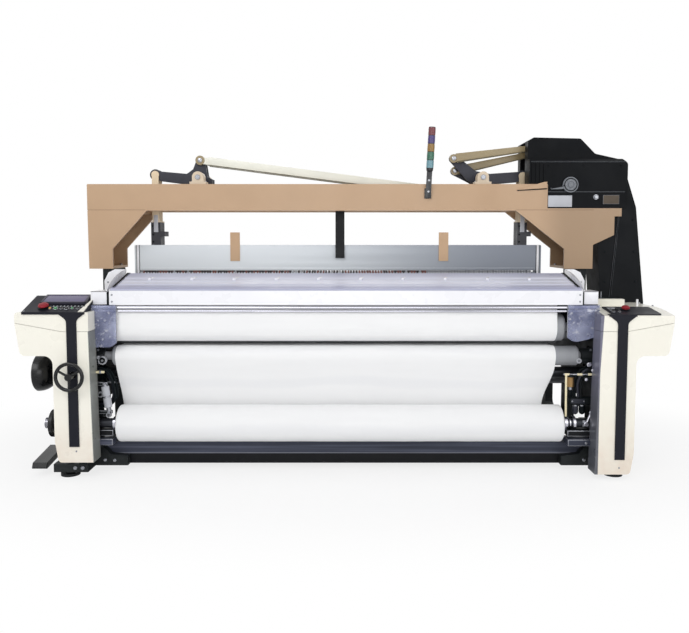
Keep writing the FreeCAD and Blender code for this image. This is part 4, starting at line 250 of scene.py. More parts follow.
chrome = steel("polished_bar", (205, 205, 214), 0.12, ALONG_X)
ground_x = steel("ground_along_x", (150, 152, 158), 0.3, ALONG_X)
ground_y = steel("ground_along_y", (150, 152, 158), 0.3, ALONG_Y)
zinc = steel("zinc_fittings", (164, 166, 172), 0.3)
brass = steel("brass_fittings", (150, 122, 84), 0.4)
beam_alloy = steel("warp_beam_alloy", (168, 172, 178), 0.32)
rubber = Finish("roller_grey", (146, 148, 152), 0.55)
rubber.vary(0.15, 8, (4, 1, 1)).uneven(0.1).raised(rubber.waves(0.004, "X"), 0.0003)
slate = Finish("lever_slate", (44, 46, 56), 0.44, specular=0.35)
slate.vary(0.3, 12, towards=(74, 74, 84)).uneven(0.1).grain(240, 0.0004)
block_tan = Finish("bearing_block", (214, 196, 172), 0.5).vary(0.2, 15).uneven(0.1).grain(260, 0.0004)
rod_pale = Finish("pull_rod", (238, 238, 226), 0.36, coat=0.2)
rod_pale.tint(rod_pale.axis("X").remap(0.25, 0.62), (150, 158, 112))
rod_pale.vary(0.1, 10).uneven(0.08).grain(220, 0.0003)
olive = Finish("dobby_rod_olive", (158, 142, 108), 0.4, coat=0.15)
olive.vary(0.3, 9, (0.4, 1, 1), (96, 82, 66)).uneven(0.1).grain(220, 0.0003)
rod_shade = Finish("rod_shade", (92, 88, 70), 0.5, specular=0.3)
rod_shade.vary(0.4, 12, towards=(52, 52, 48)).uneven(0.1).grain(220, 0.0003)

dobby_black = Finish("dobby_black", (8, 10, 13), 0.45, specular=0.1)
dobby_black.vary(0.2, 4, towards=(22, 25, 31)).uneven(0.08).grain(700, 0.00025)
from_cap = dobby_black.field("ShaderNodeVectorMath", "Value", {0: dobby_black.at, 1: (1.257, -0.39, 1.523)},
                             operation="DISTANCE")
dobby_black.tint((dobby_black.axis("Y") < -0.3855) * (from_cap < 0.047), (98, 102, 108))
belt_black = Finish("belt_cover_black", (10, 12, 15), 0.45, specular=0.12)
belt_black.vary(0.25, 3, (1, 1, 0.4), (26, 29, 34)).uneven(0.1).grain(600, 0.0003)
belt_black.floor_tint(0.75, (48, 50, 52), 0.3)

heald = Finish("heald_aluminium", (222, 227, 231), 0.36, metallic=0.2)
# painted shade: the heald frames darken from left to right
heald.tint(heald.axis("X").remap(-0.7, 1, 0, 0.95), (118, 124, 136))
heald.vary(0.15, 2, (0.2, 1, 1)).uneven(0.08, 20, ALONG_X).grain(200, 0.00008, ALONG_X)
height = heald.axis("Z")
beyond_tabs = heald.axis("X").math("ABSOLUTE") > 0.75
on_tab = (heald.axis("Y") < -0.2556) * (beyond_tabs < 0.5)
heald.tint((height > 1.1875) * beyond_tabs, (40, 40, 46))
heald.tint(beyond_tabs * (height > 1.318), (224, 205, 175))
heald.tint(on_tab * height.between(1.09, 1.27), TAN)

glass = Finish("guard_clear", (184, 190, 220), 0.2, coat=0.3)
glass.set("Transmission Weight", 0.4).set("Alpha", 0.64).vary(0.9, 7, towards=(102, 110, 156))
# white speckles of painted reflection on the clear guards
glass.tint(glass.noise(45).remap(0.56, 0.68, 0, 0.9), (236, 238, 248)).uneven(0.06).grain(18, 0.004)

stop_red = paint("stop_red", (142, 30, 42), 0.46, coat=0, vary=0.25, specular=0.25)
key_green = paint("key_green", (60, 140, 84), 0.3, coat=0.4)
key_black = paint("key_black", (36, 35, 38), 0.36, coat=0.1, specular=0.35)
key_amber = paint("key_amber", (206, 150, 60), 0.3, coat=0.4)
wheel_black = Finish("wheel_black", (9, 10, 12), 0.26, coat=0.1, specular=0.35)
wheel_black.vary(0.2, 18, towards=(28, 30, 34)).uneven(0.08).grain(300, 0.0002)
dish_black = Finish("dish_black", (18, 19, 22), 0.36, coat=0.05, specular=0.35)
steel_part = dish_black.axis("X").between(-1.626, 1.5)
dish_black.tint(steel_part, (66, 68, 74)).set("Metallic", steel_part.remap(0, 1, 0, 0.6)).uneven(0.08)
centred = {"Scale": 14, "Vector": dish_black.mapped("Location", (0, 0.5, -0.492))}
rings = dish_black.field("ShaderNodeTexWave", "Fac", centred, wave_type="RINGS", rings_direction="X")
dish_black.raised(rings, 0.0015)
motor = paint("motor_grey", (112, 118, 122), 0.42, coat=0.1, vary=0.2)
foot_black = Finish("foot_steel", (30, 32, 34), 0.45, specular=0.3)
foot_black.vary(0.3, 20).uneven(0.1).grain(300, 0.0004)
ivory = paint("ivory_rod", (240, 228, 190), 0.35)
light_grey = paint("cylinder_grey", (184, 186, 192), 0.38)
dark_ends = Finish("heddle_dark", (74, 66, 68), 0.5).vary(0.4, 40)
brown_ends = Finish("heddle_brown", (140, 92, 84), 0.5).vary(0.4, 40)
plate_grey = paint("bare_plate", (186, 188, 194), 0.45, coat=0.05, vary=0.45)
mesh_brown = Finish("grille_brown", (78, 66, 52), 0.5).vary(0.3, 40)
for direction in "XZ":
    mesh_brown.raised(mesh_brown.waves(0.006, direction), 0.001)


def fabric(name, colour, warp_period, weft_period, band=0):
    """Plain weave laid out by the piece's own UV map, in metres along warp and weft."""
    made = Finish(name, colour, 0.86).set("Sheen Weight", 0.25).set("Sheen Roughness", 0.5)
    made.at = made.node("ShaderNodeUVMap", uv_map="thread").outputs["UV"]
    made.vary(0.035, 2, (1, 3, 1), (210, 211, 214)).vary(0.05, 30, (0.1, 1, 1), (218, 219, 222))
    if band:
        made.tint(made.waves(band, "Y", 2).remap(0.7, 1, 0, 0.10), (200, 203, 212))
    for period, direction in ((warp_period, "X"), (weft_period, "Y")):
        made.raised(made.waves(period, direction), 0.0003, 0.5)
    return made.uneven(0.05, 60)


cloth_white = fabric("cloth_white", (246, 246, 246), 0.0012, 0.0016, 0.21)
yarn_white = fabric("yarn_white", (238, 236, 228), 0.0016, 0.9)

CAD_LOOKS = {
    cream: "left_upper_cover right_upper_cover",
    column: "left_lower_cover right_lower_cover",
    console: "left_panel right_panel",
    tan: "gantry_front_beam gantry_rear_beam gantry_left_bracket gantry_right_bracket",
    fascia_white: "front_fascia",
    lavender: "splash_cover",
    casting: "side_frame_left side_frame_right breast_beam middle_rail",
    rail_black: "front_rail centre_guide",
    chrome: "guide_bars",
    rubber: "take_up_roller press_roller guide_roller",
    ground_x: "back_rest_roller sley",
    ground_y: "lever_shafts",
    slate: "left_crank_a left_crank_b right_crank_a right_crank_b",
    block_tan: "shaft_blocks",
    rod_pale: "long_rod_a long_rod_b",
    olive: "dobby_rod_a dobby_rod_b",
    dobby_black: "dobby_housing",
    belt_black: "belt_cover",
    heald: "heald_frame_1 heald_frame_2 heald_frame_3 heald_frame_4",
    stop_red: "e_stop_left e_stop_right",
    key_green: "start_button",
    key_black: "halt_button right_button",
    wheel_black: "handwheel pedal",
    motor: "main_motor",
    foot_black: "levelling_feet",
    beam_alloy: "warp_beam",
}
for look, names in CAD_LOOKS.items():
    for name in names.split():
        mesh = NODES[name].data
        mesh.materials.clear()
        mesh.materials.append(look.material)
        mesh.set_sharp_from_angle(angle=math.radians(32))


# ---------------------------------------------------------------- shapes
def add_piece(bm, name, finishes, body, angle=None):
    """Makes an object of the mesh; it rides on the body and has edges sharp from the angle on."""
    bmesh.ops.recalc_face_normals(bm, faces=bm.faces)
    mesh = bpy.data.meshes.new(name)
    bm.to_mesh(mesh)
    bm.free()
    for finish in finishes:
        mesh.materials.append(finish.material)
    if angle:
        mesh.shade_smooth()
        mesh.set_sharp_from_angle(angle=math.radians(angle))
    item = bpy.data.objects.new(name, mesh)
    bpy.context.scene.collection.objects.link(item)
    if body:
        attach(item, body)
    return item


def mapped_face(bm, layer, corners, places):
    """Face through the corners with a place (u, v) on the thread map for each."""
    for loop, place in zip(bm.faces.new(corners).loops, places):
        loop[layer].uv = place


def on_axis(axis, along, u, v):
    """Point with its place along an axis and the two places across it."""
    return {"X": (along, u, v), "Y": (u, along, v), "Z": (u, v, along)}[axis]


def around(centre, radius, count, start=0):
    """Points spaced evenly on a circle."""
    angles = [start + 2 * math.pi * number / count for number in range(count)]
    return [(centre[0] + radius * math.cos(angle), centre[1] + radius * math.sin(angle)) for angle in angles]


def drum(low, high, radius, edge=0, bore=0):
    """Profile of a drum, or a ring when it has a bore; its outer rims are chamfered by the edge."""
    outside = [(low, radius - edge), (low + edge, radius), (high - edge, radius), (high, radius - edge)]
    profile = [(low, bore), *dict.fromkeys(outside), (high, bore)]
    return profile + profile[:1] if bore else profile


class Shape:
    """Solids drawn in millimetres in the loom's frame and joined into one object.

    Bevels have the first finish: the one given here, or else the first one drawn with."""

    def __init__(self, *finishes):
        self.bm = bmesh.new()
        self.finishes = list(finishes)
        self.matrix = Matrix.Identity(4)

    def placed(self, place=(0, 0, 0), tilt=0, axis="X"):
        self.matrix = Matrix.Translation(place) @ Matrix.Rotation(math.radians(tilt), 4, axis)
        return self

    def patch(self, finish, points, faces):
        if finish not in self.finishes:
            self.finishes.append(finish)
        verts = [self.bm.verts.new((self.matrix @ Vector(point)) * MM) for point in points]
        made = [self.bm.faces.new([verts[i] for i in face]) for face in faces]
        for face in made:
            face.material_index = self.finishes.index(finish)
        return made

    def bevelled(self, faces, width):
        if width:
            edges = list({edge for face in faces for edge in face.edges})
            bmesh.ops.bevel(self.bm, geom=edges, offset=width * MM, segments=2, profile=0.6,
                            affect="EDGES", clamp_overlap=True)

    def box(self, finish, x, y, z, bevel=0):
        points = [(a, b, c) for a in x for b in y for c in z]
        faces = [(0, 1, 3, 2), (4, 6, 7, 5), (0, 4, 5, 1), (2, 3, 7, 6), (0, 2, 6, 4), (1, 5, 7, 3)]
        self.bevelled(self.patch(finish, points, faces), bevel)

    def prism(self, finish, axis, outline, ends, bevel=0):
        """Outline across an axis, extruded between two places on it."""
        count = len(outline)
        points = [on_axis(axis, end, u, v) for end in ends for u, v in outline]
        faces = [tuple(range(count)), tuple(range(count, 2 * count))]
        faces += [(i, (i + 1) % count, count + (i + 1) % count, count + i) for i in range(count)]
        self.bevelled(self.patch(finish, points, faces), bevel)

    def turned(self, finish, axis, centre, profile, sides=32):
        """Profile of (along, radius) turned about an axis; a radius of 0 closes it."""
        rings, points = [], []
        for along, radius in profile:
            spots = around(centre, radius, sides)[:None if radius else 1]
            rings.append(range(len(points), len(points) + len(spots)))
            points += [on_axis(axis, along, *spot) for spot in spots]
        faces = []
        for low, high in zip(rings, rings[1:]):
            for step in range(sides):
                after = (step + 1) % sides
                corners = (low[step % len(low)], low[after % len(low)],
                           high[after % len(high)], high[step % len(high)])
                faces.append(tuple(dict.fromkeys(corners)))
        faces += [tuple(ring) for ring in (rings[0], rings[-1])]
        self.patch(finish, points, [face for face in faces if len(face) > 2])

    def facing(self, place, direction):
        """Turns the frame to look along a direction from a place and returns the frame it had."""
        kept = self.matrix
        turn = Vector(direction).to_track_quat("Z", "Y").to_matrix().to_4x4()
        self.matrix = kept @ Matrix.Translation(place) @ turn
        return kept

    def rod(self, finish, start, end, radius, sides=16, chamfer=1):
        """Round bar between two points, its ends chamfered."""
        run = Vector(end) - Vector(start)
        length, edge = run.length, min(chamfer, radius * 0.4)
        kept = self.facing(start, run)
        self.turned(finish, "Z", (0, 0), drum(0, length, radius, edge), sides)
        self.matrix = kept

    def bolt(self, finish, place, direction, size):
        """Hexagon head on a washer, seen from the direction it faces."""
        kept = self.facing(place, direction)
        washer = [(-0.5 / size, 0), (-0.5 / size, 1), (0.12, 1), (0.2, 0.94), (0.2, 0)]
        head = [(0.2, 0), (0.2, 0.8), (0.68, 0.8), (0.82, 0.66), (0.82, 0)]
        for profile, sides in ((washer, 20), (head, 6)):
            scaled = [(rise * size, reach * size) for rise, reach in profile]
            self.turned(finish, "Z", (0, 0), scaled, sides)
        self.matrix = kept

    def bolts(self, finish, x, y, z, direction, size):
        """Bolts wherever the given places on the three axes meet."""
        for place in [(a, b, c) for a in x for b in y for c in z]:
            self.bolt(finish, place, direction, size)

    def pipe(self, finish, points, radius, sides=14, steps=7):
        """Rigid bent pipe along a smooth curve through the points."""
        spots = [Vector(point) for point in points]
        spots = [2 * spots[0] - spots[1], *spots, 2 * spots[-1] - spots[-2]]
        path = []
        for a, b, c, d in zip(spots, spots[1:], spots[2:], spots[3:]):
            for t in [step / steps for step in range(steps)]:
                path.append(0.5 * (2 * b + (c - a) * t + (2 * a - 5 * b + 4 * c - d) * t * t
                                   + (3 * b - a - 3 * c + d) * t ** 3))
        path.append(spots[-2])
        points = []
        for index, spot in enumerate(path):
            ahead = path[min(index + 1, len(path) - 1)] - path[max(index - 1, 0)]
            across = ahead.cross(Vector((0, 1, 0))).normalized()
            up = across.cross(ahead).normalized()
            points += [spot + u * across + v * up for u, v in around((0, 0), radius, sides)]
        faces = []
        for ring in range(0, len(points) - sides, sides):
            for turn in range(sides):
                a, b = ring + turn, ring + (turn + 1) % sides
                faces.append((a, b, b + sides, a + sides))
        faces += [tuple(range(sides)), tuple(range(len(points) - sides, len(points)))]
        self.patch(finish, points, faces)

    def made(self, name, body, slot):
        return add_piece(self.bm, name, self.finishes, body, 35)


def along(start, step, count):
    return [start + step * number for number in range(count)]


def mirrored(side, low, high):
    """Two places counted outwards from the middle, on one side of it, in rising order."""
    return sorted((side * low, side * high))


# ---------------------------------------------------------------- cloth and yarn
WEB_HALF = 0.75
STAND_OFF = 1.05
LEVEL = 948.05
FELL_Y = -437
ROLL_PLACE, ROLL_RADIUS = (-683, 256), 96
BEAM_PLACE, BEAM_RADIUS = (500, 440), 330
CLOTH_X = (-1194, 1100)
WARP_X = (-1180, 1086)
# each wrap is a place (y, z), a radius and the way the sheet turns there
CLOTH_WRAPS = [
    (-438, LEVEL, 0, 1), (-680, 925, 22 + STAND_OFF, 1), (-642, 760, 73 + STAND_OFF, 1),
    (-540.59, 701.45, 42 + STAND_OFF, -1), (-648, 608, 52 + STAND_OFF, 1),
    (*ROLL_PLACE, ROLL_RADIUS + STAND_OFF, -1),
]
WARP_WRAPS = [(-316, LEVEL, 0, -1), (720, 887, 60 + STAND_OFF, -1),
              (*BEAM_PLACE, BEAM_RADIUS + STAND_OFF, -1)]


def wrap_path(wraps, step):
    """Points (y, z, normal y, normal z, slack) along a sheet's middle; slack is 1 mid-span."""
    legs = []
    for (y1, z1, r1, s1), (y2, z2, r2, s2) in zip(wraps, wraps[1:]):
        bend = math.asin(max(-1, min(1, (s2 * r2 - s1 * r1) / math.hypot(y2 - y1, z2 - z1))))
        angle = math.atan2(z2 - z1, y2 - y1) - bend
        ny, nz = -math.sin(angle), math.cos(angle)
        ends = [(y - turn * radius * ny, z - turn * radius * nz)
                for y, z, radius, turn in ((y1, z1, r1, s1), (y2, z2, r2, s2))]
        legs.append((*ends, (ny, nz)))
    path = []
    for number, (start, end, normal) in enumerate(legs):
        count = max(2, int(math.dist(start, end) / step))
        for share in [index / count for index in range(count + 1)]:
            y, z = (a + (b - a) * share for a, b in zip(start, end))
            path.append((y, z, *normal, math.sin(math.pi * share)))
        if number + 1 == len(legs):
            break
        y, z, radius, turn = wraps[number + 1]
        after = legs[number + 1][0]
        first = math.atan2(end[1] - z, end[0] - y)
        last = math.atan2(after[1] - z, after[0] - y)
        sweep = turn * ((turn * (last - first)) % (2 * math.pi))
        count = max(2, int(abs(sweep) / 0.22))
        for index in range(1, count):
            angle = first + sweep * index / count
            u, v = math.cos(angle), math.sin(angle)
            path.append((y + radius * u, z + radius * v, -turn * u, -turn * v, 0))
    return path


def thin_sheet(name, rows, half, finish, body):
    """Closed sheet through rows of (point, normal, u, v), with a UV map in metres along the threads."""
    bm = bmesh.new()
    layer = bm.loops.layers.uv.new("thread")
    uv_of = {}
    top, bottom = [], []
    for grid, reach in ((top, half), (bottom, -half)):
        for row in rows:
            verts = [bm.verts.new((point + normal * reach) * MM) for point, normal, _, _ in row]
            uv_of.update(zip(verts, [(u, v) for _, _, u, v in row]))
            grid.append(verts)
    faces = []
    last_row, last_column = len(rows) - 1, len(rows[0]) - 1
    for i in range(last_row):
        for j in range(last_column):
            faces.append((top[i][j], top[i][j + 1], top[i + 1][j + 1], top[i + 1][j]))
            faces.append((bottom[i][j], bottom[i + 1][j], bottom[i + 1][j + 1], bottom[i][j + 1]))
        for j in (0, last_column):
            faces.append((top[i][j], top[i + 1][j], bottom[i + 1][j], bottom[i][j]))
    for i in (0, last_row):
        for j in range(last_column):
            faces.append((top[i][j], top[i][j + 1], bottom[i][j + 1], bottom[i][j]))
    for face in faces:
        mapped_face(bm, layer, face, [uv_of[vert] for vert in face])
    return add_piece(bm, name, [finish], body, 50)


def cloth_web():
    """Woven cloth from the fell over the nose and rollers down to the cloth roll."""
    path = wrap_path(CLOTH_WRAPS, 26)
    columns = 96
    rows, run = [], 0
    for index, (y, z, ny, nz, slack) in enumerate(path):
        if index:
            run += math.dist(path[index - 1][:2], (y, z))
        # the web draws in by 12 on the left and 45 on the right before it reaches the roll
        pull = max(0, min(1, (560 - z) / 215))
        pull = pull * pull * (3 - 2 * pull)
        left, right = CLOTH_X[0] + 12 * pull, CLOTH_X[1] - 45 * pull
        row = []
        for share in [number / columns for number in range(columns + 1)]:
            x = left + (right - left) * share
            wave = noise.noise(Vector((x * 0.004, run * 0.006, 3.1))) * 2.6
            crease = noise.noise(Vector((x * 0.02, run * 0.003, 9.7))) * 0.8
            curl = 3 * (max(0, abs(share - 0.5) * 2 - 0.975) / 0.025) ** 2 * slack
            lift = (wave + crease) * slack + curl
            row.append((Vector((x, y + ny * lift, z + nz * lift)), Vector((0, ny, nz)), x * MM, run * MM))
        rows.append(row)
    item = thin_sheet("woven_cloth", rows, WEB_HALF, cloth_white, FRAME)
    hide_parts("cloth_web")


def winding(name, axis_place, ends, radius, core, finish, body, node_name, wobble, layer):
    """Wound cylinder: uneven outer turns, rounded rims and a spiral of layers at each end."""
    sides, steps = 72, 60
    left, right = ends
    depth = radius - 8 - core
    count = int(depth / layer)
    turns = [core + depth * number / count for number in range(count + 1)]
    rim = ((1.5, radius - 5), (5, radius - 1.2), (12, radius - 0.2))
    profile = [(left + RNG.uniform(0, wobble * 2), size) for size in turns]
    profile += [(left + inset, size) for inset, size in rim]
    profile += [(left + 12 + (right - left - 24) * step / steps, radius - RNG.uniform(0, 0.4))
                for step in range(1, steps)]
    profile += [(right - inset, size) for inset, size in rim[::-1]]
    profile += [(right - RNG.uniform(0, wobble * 2), size) for size in turns[::-1]]
    bm = bmesh.new()
    uv_layer = bm.loops.layers.uv.new("thread")
    rows = []
    for spot, size in profile:
        row = []
        for u, v in around((0, 0), 1, sides):
            swell = noise.noise(Vector((spot * 0.003, u * 0.8, v * 0.8))) * wobble
            reach = min(size + min(0, swell), radius) if size > core + 1 else size
            place = (spot, axis_place[0] + reach * u, axis_place[1] + reach * v)
            row.append(bm.verts.new(Vector(place) * MM))
        rows.append(row)
    length = 0
    for low, high, a, b in zip(rows, rows[1:] + rows[:1], profile, profile[1:] + profile[:1]):
        end = length + math.dist(a, b) * MM
        for side in range(sides):
            after = (side + 1) % sides
            now, later = (radius * 2 * math.pi * number / sides * MM for number in (side, side + 1))
            mapped_face(bm, uv_layer, (low[side], low[after], high[after], high[side]),
                        ((length, now), (length, later), (end, later), (end, now)))
        length = end
    item = add_piece(bm, name, [finish], body, 60)
    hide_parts(node_name)


HEDDLE_PITCH = 16
YARN_PITCH = 4
HEALD_SET_Y = {"a": -238, "b": -190}


def strand_rows(bm, layer, x, stations, width, half):
    """One flat strand through (y, z) stations."""
    rows, run = [], 0
    for index, (y, z) in enumerate(stations):
        if index:
            run += math.dist(stations[index - 1], (y, z))
        ahead = stations[min(index + 1, len(stations) - 1)]
        back = stations[max(index - 1, 0)]
        dy, dz = ahead[0] - back[0], ahead[1] - back[1]
        size = math.hypot(dy, dz)
        ny, nz = -dz / size * half, dy / size * half
        corners = [(x + across * width / 2, y + face * ny, z + face * nz)
                   for across, face in ((-1, 1), (1, 1), (1, -1), (-1, -1))]
        rows.append(([bm.verts.new(Vector(corner) * MM) for corner in corners], run * MM))
    for (low, start), (high, end) in zip(rows, rows[1:]):
        for side in range(4):
            after = (side + 1) % 4
            mapped_face(bm, layer, (low[side], low[after], high[after], high[side]),
                        [(x * MM, v) for v in (start, start, end, end)])
    for row, v in (rows[0], rows[-1]):
        mapped_face(bm, layer, row, [(x * MM, v)] * 4)


def yarns(name, stations, offset, pitch, body=None):
    """A layer of parallel warp ends."""
    bm = bmesh.new()
    layer = bm.loops.layers.uv.new("thread")
    for number in range(int((WARP_X[1] - WARP_X[0] - offset) / pitch)):
        jitter = RNG.uniform(-0.25, 0.25)
        strand_rows(bm, layer, WARP_X[0] + offset + pitch * (number + 0.5) + jitter, stations, 1.7, 0.55)
    return add_piece(bm, name, [yarn_white], body)


def level_run(start, end, count):
    """Stations on the warp's level from one place in depth to another."""
    return [(start + (end - start) * step / count, LEVEL) for step in range(count + 1)]


def warp():
    """Warp ends from the beam over the back rest, through the healds to the fell."""
    lease_y = -92
    rear = [(y, z) for y, z, _, _, _ in wrap_path(WARP_WRAPS, 160) if y > lease_y + 20]
    item = yarns("warp_ends_rear", [(lease_y, LEVEL)] + rear, 0, YARN_PITCH / 2, FRAME)
    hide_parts("warp_sheet")
    for letter, offset in (("a", 0), ("b", YARN_PITCH / 2)):
        heald_y = HEALD_SET_Y[letter]
        item = yarns(f"warp_ends_back_{letter}", level_run(lease_y, heald_y, 6), offset, YARN_PITCH)
        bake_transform(item)
        item = yarns(f"warp_ends_front_{letter}", level_run(heald_y, FELL_Y, 8), offset, YARN_PITCH)
        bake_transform(item)


def heddles():
    """Flat heddles with an eye on the carriers of each heald frame, and their coloured end loops."""
    left, right = -1170, 1086
    for number in range(4):
        y = -250 + 24 * number
        body = "heald_set_a" if number < 2 else "heald_set_b"
        shape = Shape()
        count = int((right - left) / HEDDLE_PITCH)
        for index in range(count):
            x = left + HEDDLE_PITCH * (index + 0.5) + RNG.uniform(-2.2, 2.2)
            for span in ((858, 940), (956, 1016)):
                shape.box(zinc, (x - 1.6, x + 1.6), (y - 0.4, y + 0.4), span)
            for side in (LEFT, RIGHT):
                shape.box(zinc, (x + side * 2.6 - 0.7, x + side * 2.6 + 0.7), (y - 0.5, y + 0.5), (938, 958))
            share = index / count
            pick = RNG.random()
            finish = dark_ends if pick < 0.62 - 0.4 * share else brown_ends
            if pick > 0.90 or share > 0.73:
                finish = light_grey
            for low in (840, 1014):
                for edge in (y - 3.2, y + 3.2):
                    shape.box(finish, (x - 4.4, x + 4.4), (edge - 0.8, edge + 0.8), (low, low + 20))
                top = low + 25 + RNG.uniform(0, 5)
                shape.box(finish, (x - 4.4, x + 4.4), (y - 4, y + 4), (low + 18.2, top))
        shape.made(f"heddles_{number + 1}", body, "bright_steel")


def reed_comb():
    """Reed with fine dents between two bound bands."""
    shape = Shape(zinc)
    left, right, pitch = -1194, 1110, 4
    for band in ((880, 903), (979, 990)):
        shape.box(light_grey, (left, right), (-379, -371), band, 1.2)
    for x in (left + 10, right - 10):
        shape.box(light_grey, (x - 10, x + 10), (-378.5, -371.5), (902, 980), 0.8)
    for number in range(int((right - left - 44) / pitch)):
        x = left + 22 + pitch * (number + 0.5)
        shape.box(zinc, (x - 0.7, x + 0.7), (-377.5, -372.5), (902.5, 979.5))
    item = shape.made("reed_comb", "beat_up", "bright_steel")
    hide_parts("reed")


cloth_web()
winding("cloth_winding", ROLL_PLACE, (-1179, 1133), ROLL_RADIUS, 25.2, cloth_white, "cloth_take",
        "cloth_roll", 1.2, 5)
winding("yarn_winding", BEAM_PLACE, (-1180, 1086), BEAM_RADIUS, 85.2, yarn_white, "warp_supply",
        "warp_yarn", 0.8, 12)
warp()
heddles()
reed_comb()


# ---------------------------------------------------------------- consoles
LEFT_CONSOLE = ((0, -836, 857), 20)
TILT = 8.383
TURN = math.radians(TILT)
RIGHT_CONSOLE = ((0, -830 - 5 * math.sin(TURN), 838 + 5 * math.cos(TURN)), TILT)


def screen():
    """Touch screen: a bezel with the glass set in it."""
    bezel = paint("screen_bezel", (62, 60, 72), 0.42, coat=0.05, specular=0.3)
    pane = Finish("screen_glass", (92, 86, 118), 0.3, coat=0.15, specular=0.35)
    pane.vary(0.5, 7, (1, 2, 2), (118, 110, 142)).uneven(0.05)
    shape = Shape().placed(*LEFT_CONSOLE)
    left, right, low, high = -1553, -1319, 92, 188
    shape.box(bezel, (left, right), (low, high), (0.2, 9), 2.5)
    for x in ((left, left + 12), (right - 12, right)):
        shape.box(bezel, x, (low, high), (8, 12), 1.4)
    for y in ((low, low + 9), (high - 9, high)):
        shape.box(bezel, (left, right), y, (8, 12), 1.4)
    shape.box(pane, (left + 11, right - 11), (low + 8, high - 8), (8.5, 10.6), 0.8)
    item = shape.made("screen_panel", FRAME, "screen_dark")
    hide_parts("touch_screen")


def console_fittings():
    """Lamps, keys, rings and screws on both consoles."""
    shape = Shape(key_black)

    def lamp(spot, finish):
        shape.turned(zinc, "Z", spot, [(0, 0), (0, 9), (2.4, 9), (3.2, 8), (3.2, 0)], 20)
        shape.turned(finish, "Z", spot, [(3, 0), (3, 6.6), (6, 6.2), (8, 4), (8.6, 0)], 20)

    def collar(finish, spot, bore, radius, height, edge, sides):
        shape.turned(finish, "Z", spot, [(0, bore), (0, radius), (1.6, radius), (height, radius - edge),
                                         (height, bore), (0, bore)], sides)

    shape.placed(*LEFT_CONSOLE)
    for x, finish in ((-1484, key_amber), (-1428, key_black), (-1372, key_green), (-1344, key_black)):
        lamp((x, 40), finish)
    for x in (-1456, -1400):
        collar(zinc, (x, 40), 9.6, 13.5, 2.4, 0.9, 24)
    shape.box(plate_grey, (-1492, -1316), (60, 74), (0.2, 1.6), 0.6)
    for x in along(-1484, 18, 10):
        shape.box(strip_black, (x - 6, x + 6), (62, 72), (1.4, 3.4), 0.8)
    collar(strip_black, (-1520, 52), 9.4, 30, 2.6, 2, 28)
    for y in (12, 196):
        shape.turned(zinc, "Z", (-1604, y), [(0, 0), (0, 4), (1.6, 3.6), (2.4, 0)], 14)
    shape.prism(cream, "Z", [(-1332, 1), (-1301, 1), (-1301, 205)], (-1, 2.4), 1)
    shape.placed(*RIGHT_CONSOLE)
    for spot in ((1366, 100), (1366, 60), (1396, 60)):
        lamp(spot, key_black)
    shape.box(plate_grey, (1360, 1402), (118, 146), (0.1, 1.4), 0.6)
    collar(strip_black, (1442, 100), 9.4, 25, 2.6, 2, 28)
    shape.made("console_fittings", FRAME, "console_black")


def stop_caps():
    """Broad flat mushroom caps over the heads of both stop buttons."""
    for body, spot, console_place, reach in (("stop_left", (-1520, 52), LEFT_CONSOLE, 26),
                                             ("stop_right", (1442, 100), RIGHT_CONSOLE, 21.5)):
        shape = Shape().placed(*console_place)
        shape.turned(stop_red, "Z", spot, [(9.5, 9.6), (9.5, reach - 1), (10.5, reach), (14.5, reach),
                                           (20.5, reach - 5), (22.8, 12), (23.6, 0)], 36)
        shape.made(f"{body}_cap", body, "stop_red")


screen()
console_fittings()
stop_caps()


# ---------------------------------------------------------------- front: splash cover, fascia, guards
def splash_details():
    """Long ridges, spring clips and dark edge trims on the sloping cover."""
    shape = Shape().placed((0, -714, 959), 13)
    top = 8
    for u, height, width in ((22, 1.6, 5), (74, 2.6, 9), (132, 1.6, 5), (196, 3, 12)):
        corners = ((-width, -0.4), (width, -0.4), (width * 0.4, height), (-width * 0.4, height))
        shape.prism(lavender, "X", [(u + across, top + rise) for across, rise in corners], (-1200, 1215))
    for x in along(-1037, 226, 10):
        shape.prism(fascia_white, "Z", [(x - 14, 158), (x - 2, 158), (x + 16, 206), (x + 2, 206)],
                    (top, top + 3), 0.8)
        shape.box(fascia_white, (x - 15, x + 1), (152, 160), (top, top + 12), 0.8)
        head = [(top + 2, 0), (top + 2, 5), (top + 5, 4.4), (top + 6, 0)]
        shape.turned(fascia_white, "Z", (x, 186), head, 14)
    for x in ((-1204, -1186), (1201, 1219)):
        shape.box(strip_black, x, (14, 290), (top - 0.3, top + 3.5), 1)
    shape.made("splash_details", "splash", "splash_lavender")


